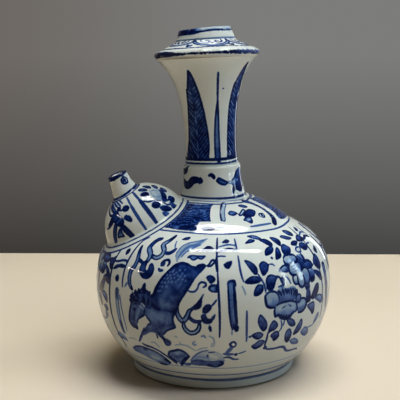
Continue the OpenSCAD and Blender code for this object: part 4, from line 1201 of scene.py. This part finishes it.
# mouth: a conical flange with a knocked edge, and a short collar

mouth = {
    "edgeR": 30.3, "edge": 2.6, "bevel": 0.8, "rise": 6.2, "wall": 3.3, "boreR": 12,
    "columns": 600, "row": 0.34, "chips": 26, "chipDeep": 0.75, "seed": 5, "scallops": 6, "scallopR": 21,
    "scallopTurn": 9, "scallopNear": 14, "scallopTall": 0.9, "lastTall": 0.74,
    "coneRing": (10.7, 1.4, 0.9),
}
collar = {
    "footR": 16.8, "rimR": 15.1, "tall": 6.2, "lean": 3, "aside": -0.5, "columns": 420, "row": 0.3,
    "chips": 12, "chipDeep": 0.5, "bandH": 2.5,
}
edgeR, bevel, mouthR = mouth["edgeR"], mouth["bevel"], mouth["boreR"]
collarR, rimR = collar["footR"], collar["rimR"]
flangeZ = topZ + joint
coneZ = flangeZ + mouth["edge"]
coneTopZ = coneZ + mouth["rise"]
collarZ = coneTopZ + joint
collarTopZ = collarZ + collar["tall"]
collarMid = coneTopZ + joint / 2
coneRun = math.hypot(edgeR - bevel - collarR, mouth["rise"])


def chipped(points, weight, seed, deep, count):
    # small knocks along an edge: the rows near it are pulled in here and there
    rng = np.random.default_rng(seed)
    turn = np.arctan2(points[0, :, 1], points[0, :, 0])
    bite = np.zeros(len(turn))
    for k in range(count):
        middle, wide = rng.uniform(-math.pi, math.pi), rng.uniform(0.02, 0.075)
        depth = rng.uniform(0.3, 1) * deep
        off = (turn - middle + math.pi) % (2 * math.pi) - math.pi
        bite = np.maximum(bite, depth * np.exp(-(off / wide) ** 2))
    bite = bite + 0.09 * np.sin(17 * turn + 1) * np.sin(41 * turn)
    shrink = 1 - weight[:, None] * bite / np.maximum(np.hypot(points[..., 0], points[..., 1]), 1)
    out = points.copy()
    out[..., :2] *= shrink[..., None]
    return out, bite


def knocked(bite, weight, start, slope, most):
    # how bare the clay is at the knocks
    return (np.clip((bite - start) * slope, 0, most) * weight[:, None]).ravel()


scallop = {
    "band": [
        (3.0, 0.45, 0.95, "-11,0.6 -10.2,3.8 -7.6,6.6 -3.6,8.6 0,9.2 4,8.8 7.6,6.8 10,4 10.8,0.6"),
    ],
    "line": [
        (1.3, 0.92, "-7,0.8 -6,3.8 -3,5.4 -1.4,3.8 -2.6,2 -4,2.8 / 6.6,0.8 6,3.8 3.6,5.2 1.8,3.8 2.8,2"
         " 4.2,2.6"),
        (1.8, 0.95, "-0.3,5.2 0.3,6"),
        (2.0, 0.92, "-10.8,8 -12,9.8 -13.2,7.6"),
    ],
}
flangeSkin = soften([
    [topR + glazeT, flangeMid], [edgeR + glazeT, flangeZ + bevel], [edgeR + glazeT, coneZ - bevel],
    [edgeR - bevel + 0.1, coneZ + glazeT], [collarR + 0.7, coneTopZ - 0.1], [collarR + 0.1, coneTopZ + 0.15],
    [collarR + 0.05, collarMid],
], mouth["row"], 0.3)
flangeInside = [[mouthR, coneTopZ], [mouthR, coneTopZ - mouth["wall"]], [topR - neck["topWall"], flangeZ],
                [topR + lapT, flangeZ], [topR + lapT, flangeMid]]
flangeRows = np.concatenate([flangeSkin, flangeInside])
edgeWeight = np.exp(-((flangeRows[:, 1] - (flangeZ + coneZ) / 2 - 0.3) / 1.3) ** 2)
edgeWeight *= flangeRows[:, 0] > topR - 1.5
edgeWeight[len(flangeSkin):] = 0
flangeFlat = turned(flangeRows, mouth["columns"])
flangeFlat, edgeBite = chipped(flangeFlat, edgeWeight, mouth["seed"], mouth["chipDeep"], mouth["chips"])


def paintFlange(points):
    angle, z, r = measured(points)
    brush = Brush(len(z))
    outside = np.repeat(np.arange(len(flangeRows)) < len(flangeSkin), mouth["columns"])
    down = (r - collarR) / (edgeR - bevel - collarR) * coneRun
    reach = np.where(outside & (z > coneZ - 0.3), down, np.nan)
    for k in range(mouth["scallops"]):
        x = sideways(angle, mouth["scallopTurn"] + 360 / mouth["scallops"] * k, mouth["scallopR"])
        long = mouth["lastTall" if k == mouth["scallops"] - 1 else "scallopTall"]
        brush.aim(x, reach / long, mouth["scallopNear"], 0.15 + 0.3 * (k > 0), 100 + k)
        brush.paint(scallop)
    unsteady = waver(angle, (0.3, 2, 30), (0.15, 5, 0))
    high, wide, tone = mouth["coneRing"]
    brush.ring(np.flatnonzero(outside & (z > coneZ - 0.2)), down + unsteady - high, wide, tone)
    # the dark edge, broad at the left and worn at the right
    edge = np.flatnonzero(outside & (z < coneZ + 2.4))
    left, right = smooth((-angle - 25) / 30), smooth((angle - 15) / 30)
    top = coneZ - 1.2 + 0.4 * unsteady + 1.5 * left + 1.0 * right
    low = flangeMid - 0.1 + 0.7 * (1 - left) * (1 - right)
    brush.ink(edge, np.maximum(z - top, low - z)[edge], (1.2 - 0.35 * right)[edge])
    brush.worn[edge] = (0.35 + 0.2 * (1 - left) + 0.6 * right)[edge]
    brush.bare = knocked(edgeBite, edgeWeight ** 2, 0.5, 2, 0.25)
    return brush


top = len(flangeSkin)
flangePiece = clayPiece("mouth_flange_glazed", leaning(flangeFlat), (0, -1, -2, top - 1, top))
finishPiece(flangePiece, paintFlange(flangeFlat), "mouth_flange")

collarSkin = soften([
    [collarR + 0.25, collarMid - 0.35], [collarR + glazeT, collarZ + 0.3], [rimR + glazeT, collarTopZ - 0.9],
    [rimR - 0.25, collarTopZ - 0.1], [rimR - 0.9, collarTopZ + 0.1], [mouthR + 1.0, collarTopZ + 0.1],
    [mouthR + 0.2, collarTopZ - 0.3], [mouthR, collarTopZ - 1.2], [mouthR, collarZ],
], collar["row"], 0.28)
collarRows = np.concatenate([collarSkin, [[mouthR, collarMid - 0.2], [collarR - 1, collarMid - 0.2]]])
rimWeight = np.exp(-((collarRows[:, 1] - collarTopZ) / 0.8) ** 2) * (collarRows[:, 0] > rimR - 1.5)
collarFlat = turned(collarRows, collar["columns"])
collarFlat, rimBite = chipped(collarFlat, rimWeight, mouth["seed"] + 1, collar["chipDeep"], collar["chips"])


def paintCollar(points):
    angle, z, r = measured(points)
    brush = Brush(len(z))
    low = collarTopZ - collar["bandH"] + waver(angle, (0.2, 2, 60), (0.15, 5, 0))
    left = smooth((-angle - 6) / 22) * smooth((angle + 170) / 60)
    rim = np.flatnonzero((z > collarTopZ - 4) & (r > mouthR + 0.6))
    inner = mouthR + 1.4 - r
    brush.fill(rim, np.maximum(low - z, inner)[rim], (0.26 + 0.7 * left)[rim])
    brush.ink(rim, np.maximum(np.abs(z - low - 0.5) - 0.48 - 0.7 * left, inner)[rim], 0.96)
    worn = 0.45 * smooth((z - collarTopZ + 2.4) / 1.6) + 0.6 * smooth((angle - 20) / 30) + 0.1 * left
    brush.worn[rim] = worn[rim]
    brush.bare = knocked(rimBite, rimWeight, 0.35, 3, 0.3)
    brush.pool = bump(z, collarZ, 1.4) * (r > rimR)
    brush.ring(np.flatnonzero((z < collarZ + 1.5) & (r > rimR)), z - collarZ + 0.1, 0.8, 0.6)
    return brush


collarLean = collar["lean"] * np.clip((collarRows[:, 1] - collarMid + 0.4) / 2.5, 0, 1)
# set a little towards the spout
collarSet = tipped(collarFlat + np.array([collar["aside"], 0, 0]), collarZ, collarLean)
top = len(collarSkin)
collarPiece = clayPiece("mouth_collar_glazed", leaning(collarSet), (top, top + 1, 0))
finishPiece(collarPiece, paintCollar(collarFlat), "mouth_collar")

# spout: a bulb luted to the shoulder, and the nipple on it

across = np.array([0.0, 1.0, 0.0])


def axes(lean):
    # up along an axis that leans away from the neck, and square to it, towards the neck
    a = math.radians(lean)
    return np.array([-math.sin(a), 0, math.cos(a)]), np.array([math.cos(a), 0, math.sin(a)])


def fan(turn, neckward):
    return np.cos(turn)[..., None] * neckward + np.sin(turn)[..., None] * across


bulbAxis, bulbNeckward = axes(spout["tilt"])
nippleAxis, nippleNeckward = axes(spout["lean"])


def bulbDirections(alpha, beta):
    return np.cos(alpha)[..., None] * bulbAxis + np.sin(alpha)[..., None] * fan(beta, bulbNeckward)


def toShoulder(direction):
    # how far a line from the bulb's centre runs before it leaves the body
    near, far = np.zeros(direction.shape[:-1]), np.full(direction.shape[:-1], 90.0)
    for k in range(34):
        mid = (near + far) / 2
        p = bulbCentre + direction * mid[..., None]
        z = p[..., 2]
        deep = np.hypot(p[..., 0], p[..., 1]) < np.where(z > bellyZ, shoulderR(z, glazeT), bellyR + glazeT)
        deep &= z < bellyZ + rise
        near, far = np.where(deep, mid, near), np.where(deep, far, mid)
    return near


flower = {
    "wash": [
        (0.97, 0, "-24.8,-7.4 -22.6,-10 -19.6,-11.8 -16.6,-12.6 -16.6,-15 -20,-14 -23.2,-11.4 / -22,-9.6"
         " -19,-10.4 -16,-11 -15.6,-13.6 -18.4,-12.8 -21,-11.6"),
        (0.98, 0, "-17,-12 -14.6,-10.6 -11.6,-11.4 -10.4,-13.6 -11,-17 -10.8,-20.4 -12,-22.4 -15.6,-22.2"
         " -17.2,-19 -17.4,-15 / -10.4,-12 -8.6,-11.8 -7.4,-13.4 -8.6,-15 -10.2,-14.4 / -7.8,-15.4"
         " -5.4,-14.8 -3.2,-16.4 -3.4,-18.6 -5.6,-19.2 -7.6,-17.8"),
        (0.97, 0, "-10.6,-20.6 -8.2,-20 -6.4,-22.2 -6.2,-24.8 -7.6,-26 -9.4,-24.4"),
        (0.9, 0.97, "-23.6,-21.4 -20,-20.8 -16.8,-21.6 -18.2,-24.6 -19.2,-26.4 -21.4,-24"),
        (0.3, 0, "12.4,-12.6 14.6,-10.6 18,-10.4 19.6,-12.4 19.4,-17 18.2,-20.4 16,-20.6 13.4,-18.4"
         " 12.4,-15.6"),
        (0.92, 0, "18.6,-10.8 21,-11 22.4,-14 22.2,-18 20.6,-21.6 17.8,-21.6 18.6,-18.6 19,-14"),
        (0.97, 0, "6.4,-14.6 8,-12.8 10.6,-12.8 11.8,-14.8 10.6,-17 8,-17"),
        (0.85, 0.95, "6.8,-9.4 8.6,-8.4 11,-9.6 11.8,-11.8 9.4,-12 7.4,-11"),
        (0.8, 0.95, "10.2,-6.4 12.4,-5.6 14.4,-7.4 14.2,-10 12,-9.4"),
        (0.75, 0.95, "15.6,-6 17.4,-5 18.8,-7 18.4,-10 16.4,-9.6 / 20,-8.6 22.2,-7 24,-9 23.4,-12 21,-11.6"),
        (0.96, 0.98, "23.2,-17.4 25,-14.8 28.4,-14.2 28,-17.4 26,-20.4 24,-20.6"),
        (0.88, 0, "22.6,-21.6 26,-20.6 29.6,-21 28,-24 24.6,-25.4"),
        (0.97, 0, "9.4,-24.6 11.4,-22 14.6,-21.6 16.2,-23 14.6,-25.6 11.4,-26.4"),
        (0.95, 0, "14.2,-26 17,-24.6 20.4,-24.4 23.4,-25.4 22,-27.6 18,-28.6 15,-28"),
        (0.7, 0, "14.4,-29.4 17,-28.6 20,-29.6 18.6,-32 15.4,-31.8"),
    ],
    "shade": [
        (0.74, 1.0, "-16.4,-14.6 -11.4,-16.6 / -16.6,-17.4 -11.6,-19.4"),
        (0.5, 1.8, "-21,-23 -19.4,-24"),
        (0.18, 1.8, "14.4,-13 15,-18"),
    ],
    "line": [
        (1.2, 0.72, "-1.1,-10.6 -1.6,-16 -1.9,-19"),
        (2.2, 0.76, "-1.8,-18 -2.4,-26 -3,-36"),
        (1.5, 0.78, "3.4,-8.6 4,-14 4.7,-19"),
        (3.1, 0.88, "4.6,-18 5.8,-27 7.4,-37"),
        (4.4, 0.94, "-14.8,-21.6 -14.8,-27 -14.4,-33"),
        (1.6, 0.95, "-11.4,-1.8 -14,-4.4 -15.8,-8.6 -14.8,-12 / -10,-3 -12,-5.6 -12.8,-9.4 -12.6,-12"),
        (3.0, 0.85, "-28.6,-18.4 -23,-17.6 -17,-17"),
        (1.6, 0.92, "-28,-20.4 -23,-19.4 -17.4,-18.6"),
        (1.2, 0.86, "-9,-3.2 -10.4,-5.2 -11,-8 -11.2,-11.8 / -8.4,-4.6 -9,-6.4 -9.2,-9 -9,-12.2"),
        (1.1, 0.8, "-7.5,-6 -7.4,-9.6 -7.2,-13"),
        (1.0, 0.74, "-5.8,-7.4 -5.5,-10 -5.3,-12.4"),
        (1.2, 0.95, "-9,-15 -7.4,-16.4"),
        (1.1, 0.9, "6.2,-19.4 9,-21 12.4,-20.6 15,-21 17.8,-22.2 / 18,-21.8 20.4,-23.6 23,-22.8"),
        (1.2, 0.85, "21.4,-20.6 23.4,-18.6"),
        (0.8, 0.5, "13.6,-13 16,-12 18.4,-13 / 13.6,-17 16,-18.4 18,-17.6"),
    ],
}
beta = round360(spout["columns"])
scan = np.radians(np.linspace(10, 150, 281))
table = toShoulder(bulbDirections(scan[:, None] + 0 * beta, beta + 0 * scan[:, None]))
reachEnd = np.argmax(table > bulbR + spout["fillet"], axis=0)
endAlpha = scan[np.where(reachEnd > 0, reachEnd, len(scan) - 1)]
slow = np.abs(np.fft.fftfreq(len(beta), 1 / len(beta))) < 40
endAlpha = np.real(np.fft.ifft(np.fft.fft(endAlpha) * slow))  # an even edge
startAlpha = math.asin(boreN / bulbR)
grow = np.linspace(0, 1, spout["rows"])[:, None]
alpha = startAlpha + (endAlpha - startAlpha) * grow
turnB = beta + 0 * alpha
bodyFar = toShoulder(bulbDirections(alpha, turnB))
uneven = 0.1 * np.sin(2 * turnB + 0.5) + 0.05 * np.sin(3 * turnB + alpha * 4)
ball = bulbR + glazeT + uneven * np.sin(alpha)
lap = bump(ball, bodyFar, spout["fillet"])
tuck = 0.5 * np.clip((grow - 0.985) / 0.015, 0, 1)  # the skin's end dips into the body
rho = np.maximum(ball, bodyFar) + lap ** 2 * spout["fillet"] / 4 - tuck
outerBulb = bulbCentre + bulbDirections(alpha, turnB) * rho[..., None]
innerAlpha = startAlpha + (endAlpha - startAlpha) * np.linspace(0.02, 0.9, spout["innerRows"])[:, None]
innerBulb = bulbCentre + bulbDirections(innerAlpha, beta + 0 * innerAlpha) * (bulbR - spout["wall"])
bulbPoints = np.concatenate([outerBulb[::-1], innerBulb])


def paintBulb():
    a, b = ((bulbR * alpha * way(turnB))[::-1].ravel() for way in (np.cos, np.sin))
    at = np.arange(len(a))
    brush = Brush(bulbPoints.shape[0] * bulbPoints.shape[1])
    x, y = (np.full(len(brush.lineGap), np.nan) for k in range(2))
    x[at], y[at] = a, -np.abs(b)  # the back mirrors the front
    brush.aim(x, y, 60, 0.1, 120)
    brush.paint(flower)
    fromBody = (rho - bodyFar)[::-1].ravel()
    fromBulb = np.linalg.norm(outerBulb[::-1].reshape(-1, 3) - bulbCentre, axis=1) - bulbR
    clear = np.flatnonzero(fromBody < spout["bulbClear"])
    strip = spout["bulbClear"] - fromBody[clear]
    brush.wipe(clear, strip, strip)
    brush.ring(at, np.hypot(a, b) - spout["topRing"], 1.0, 0.9)
    for away, deep in zip(spout["rings"], (1.2, 0.6)):
        gap = np.abs(fromBulb - away) - spout["ringWide"] / 2
        brush.ink(at, np.where(fromBody < deep, gap, unpainted), spout["ringTone"])
    brush.pool[at] = bump(fromBody, 0.8, 1.6) * 0.5
    return brush


bulbPiece = clayPiece("spout_bulb_glazed", bulbPoints, (spout["rows"] - 1,))
finishPiece(bulbPiece, paintBulb(), "spout_bulb")

seat = bulbCentre + bulbAxis * bulbR
turnN = round360(spout["nippleColumns"])
ringN = fan(turnN, nippleNeckward)
nippleFootR, nippleRimR, tall = spout["footR"], spout["rimR"], spout["tall"]
stem = tall - 0.75


def onBulb(r, lift):
    # height in the nipple's own frame where a ring of that radius meets the bulb
    q = seat + ringN * r - bulbCentre
    along = q @ nippleAxis
    return -along + np.sqrt(along ** 2 - (q ** 2).sum(1) + (bulbR + glazeT + lift) ** 2)


def nippleOut(high):
    return coveR(np.clip(high / stem, 0, 1), nippleFootR, nippleRimR)


nippleRows = []
for u in np.linspace(0, 1, 9):  # skirt of glaze and slip round the foot
    r = nippleFootR + glazeT + spout["skirt"] * (1 - math.sin(u * math.pi / 2))
    nippleRows.append((r, onBulb(r, -0.12) + spout["skirt"] * (1 - math.cos(u * math.pi / 2))))
skirtTop = nippleRows[-1][1]
for u in np.linspace(0, 1, 26)[1:]:
    high = skirtTop + (stem - skirtTop) * u
    nippleRows.append((nippleOut(high) + glazeT + (nippleFootR - nippleOut(skirtTop)) * (1 - u) ** 3, high))
nippleRows += soften([
    [nippleRimR + glazeT, stem], [nippleRimR - 0.1, tall], [nippleRimR - 0.7, tall + 0.15],
    [boreN + 0.7, tall + 0.05], [boreN, tall - 0.8], [boreN, 2],
], 0.35, 0.22)[1:].tolist()
outerN = len(nippleRows)
nippleRows += [(boreN, onBulb(boreN, -1.5)), (nippleFootR - 1, onBulb(nippleFootR - 1, -1.0))]
nippleR, nippleH = (np.array([row[k] + 0 * turnN for row in nippleRows]) for k in (0, 1))
nipplePoints = seat + nippleR[..., None] * ringN + nippleH[..., None] * nippleAxis
rosette = {
    "line": [
        (1.15, 0.95, "2,6.6 1.1,8.3 -1,8.3 -2,6.6 -1.1,4.8 1,4.8 1.9,6.2"),
        (2.1, 0.98, "-0.3,6.7 0.3,6.4"),
    ],
}


def paintNipple():
    brush = Brush(nippleR.size)
    h, r = nippleH.ravel(), nippleR.ravel()
    side, low = np.tile(np.degrees(turnN), len(nippleR)), np.tile(nippleH[4], len(nippleR))
    outside = np.repeat(np.arange(len(nippleR)) < outerN, len(turnN))
    for front in (-spout["rosetteTurn"], spout["rosetteTurn"]):
        x = sideways(side, front, spout["rosetteR"])
        brush.aim(x, np.where(outside & (r > 4.9), h, np.nan), 6)
        brush.paint(rosette)
    brush.ring(np.flatnonzero(outside), h - low - 0.1, 1.0, 0.95)
    top = np.flatnonzero(outside & (h > tall - 3) & (r > boreN + 0.3))
    lop = spout["rimLop"] * np.cos(np.radians(side - 200))
    brush.ink(top, (tall - spout["rimBand"] - lop - h)[top], 0.97)
    brush.worn[top] = spout["rimWorn"]
    return brush


nipplePiece = clayPiece("spout_nipple_glazed", nipplePoints, (outerN - 1,))
finishPiece(nipplePiece, paintNipple(), "spout_nipple")

for name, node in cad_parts.items():
    if name.endswith("_slip"):
        node.data.materials.clear()
        node.data.materials.append(luting)

# floor, backdrop and light, in metres

setting = {
    "cloth": (0.735, 0.615, 0.49, 1), "foldShade": (0.66, 0.545, 0.43, 1), "foldShadePatches": (6.0, 3.0),
    "rough": 0.9, "sheen": 0.2, "wide": 2.4, "behind": 0.31, "columns": 9,
    "wall": [(0.05, (0.050, 0.050, 0.048)), (0.31, (0.115, 0.116, 0.113)), (0.72, (0.204, 0.204, 0.197))],
    "wallFrom": -0.25, "wallTo": 0.1, "wallLeft": (0.76, 0.69, 0.65, 1), "leftFrom": 0.06, "leftTo": -0.26,
    "sky": (0.96, 0.98, 1.0, 1), "ambient": 0.02,
}


def toRoom(right, back, up):
    # a place given from the camera's side of the object, in the row's frame
    a = math.radians(view["turn"])
    return (right * math.cos(a) + back * math.sin(a), -right * math.sin(a) + back * math.cos(a), up)


def makeFloor():
    half, far, count = setting["wide"] / 2, setting["behind"], setting["columns"]
    # depth and height of its rows: a level cloth that falls away behind
    section = [(-half, 0), (-0.3, 0), (0, 0), (far * 0.6, 0), (far - 0.02, 0), (far - 0.006, -0.003),
               (far, -0.012), (far, -0.4)]
    verts = [toRoom(x, y, z) for y, z in section for x in np.linspace(-half, half, count)]
    first = [j * count + i for j in range(len(section) - 1) for i in range(count - 1)]
    mesh = bpy.data.meshes.new("floor")
    mesh.from_pydata(verts, [], [(n, n + 1, n + count + 1, n + count) for n in first])
    mesh.shade_smooth()
    floor = bpy.data.objects.new("floor", mesh)
    scene.collection.objects.link(floor)
    material = bpy.data.materials.new("pale_cloth")
    f = Finish(material)
    # painted shade: darker patches stand for the shade in the cloth's folds
    shade = f.blend(f.noise(f.place(), *setting["foldShadePatches"]), setting["cloth"], setting["foldShade"])
    f.dress({"Base Color": shade, "Roughness": setting["rough"], "Specular IOR Level": setting["sheen"]})
    mesh.materials.append(material)


def makeWorld():
    world = bpy.data.worlds.new("studio")
    scene.world = world
    f = Finish(world)
    place = f.place("Generated")
    # painted shade: the backdrop darkens towards the floor and towards the left
    level = f.scale(f.height(place), setting["wallFrom"], setting["wallTo"], "LINEAR")
    wall = f.add("ShaderNodeValToRGB", {"stops": setting["wall"]}, {"Fac": level})
    right = toRoom(1, 0, 0)
    aside = f.add("ShaderNodeVectorMath", {"operation": "DOT_PRODUCT"}, {0: place, 1: right}, "Value")
    dim = f.scale(aside, setting["leftFrom"], setting["leftTo"])
    wall = f.blend(dim, wall, setting["wallLeft"], "MULTIPLY")
    seen = f.add("ShaderNodeBackground", {}, {"Color": wall, "Strength": 1.0})
    given = f.add("ShaderNodeBackground", {}, {"Color": setting["sky"], "Strength": setting["ambient"]})
    camera, glossy, through = (f.add("ShaderNodeLightPath", {}, {}, f"Is {ray} Ray")
                               for ray in ("Camera", "Glossy", "Transmission"))
    both = f.add("ShaderNodeMixShader", {}, {0: camera.over(glossy).over(through), 1: given, 2: seen})
    f.feed(f.tree.nodes["World Output"], {"Surface": both})


# watts light the clay, and glint is the lamp's own level where the glaze mirrors it
lamps = {
    "ceiling": {
        "at": (0.185, -0.036, 1.1), "size": (0.885, 0.205), "tint": (0.90, 0.95, 0.955),
        "watts": 10.5, "glint": 70.0,
    },
    "rightFront": {"at": (0.66, -0.74, 1.52), "size": (0.5, 0.5), "tint": (0.88, 0.94, 1.0), "watts": 9.4},
    "streakRight": {"at": (1.48, -0.23, 0.33), "size": (0.30, 0.5), "tint": (0.35, 0.68, 1.0), "watts": 3.8},
    "paneNear": {"at": (1.43, -0.46, 0.52), "size": (0.12, 0.8), "tint": (0.72, 0.86, 1.0), "glint": 15.0},
    "paneFar": {"at": (1.5, 0.05, 0.52), "size": (0.14, 0.8), "tint": (0.6, 0.82, 1.0), "glint": 15.0},
    "stripLeft": {
        "at": (-1.29, -0.16, 0.53), "size": (0.45, 0.05), "tint": (1.0, 0.9, 0.78),
        "watts": 0.5, "glint": 5.0,
    },
    "window": {"at": (0.80, 1.12, 0.26), "size": (0.12, 0.6), "tint": (0.86, 0.94, 1.0), "glint": 1.2},
    "back": {"at": (0.2, 0.9, 1.5), "size": (1.2, 0.5), "tint": (1.0, 0.86, 0.3), "watts": 4.4},
}
lampAim = np.array([0, 0, 0.09])  # what the lamps face
twinNearer = 0.985  # a mirrored lamp hangs just before its twin


def makeLamps():
    lit = [(name, level) for name in lamps for level in ("watts", "glint") if level in lamps[name]]
    for name, level in lit:
        lamp, mirrored = lamps[name], level == "glint"
        data = bpy.data.lights.new(name, "AREA")
        data.shape = "RECTANGLE"
        data.size, data.size_y = lamp["size"]
        data.energy, data.color = lamp[level], lamp["tint"]
        item = bpy.data.objects.new(name, data)
        item.location = np.array(toRoom(*lamp["at"])) * (twinNearer if mirrored else 1)
        x, y, z = lampAim - np.array(item.location)
        pitch, spin = math.atan2(math.hypot(x, y), -z), math.atan2(y, x) - math.pi / 2
        if name == "ceiling":  # hangs level
            pitch, spin = 0.0, math.radians(-view["turn"])
        item.rotation_euler = (pitch, 0, spin)
        item.visible_glossy, item.visible_diffuse = mirrored, not mirrored
        scene.collection.objects.link(item)


def makeCamera():
    data = bpy.data.cameras.new("camera")
    data.lens, data.sensor_width = view["lens"], view["film"]
    camera = bpy.data.objects.new("camera", data)
    camera.location = toRoom(0, -view["far"] * mm, view["up"] * mm)
    camera.rotation_euler = (math.radians(90 - view["pitch"]), 0, math.radians(view["aside"] - view["turn"]))
    scene.collection.objects.link(camera)
    scene.camera = camera


makeFloor()
makeWorld()
makeLamps()
makeCamera()
note("floor, light and camera")
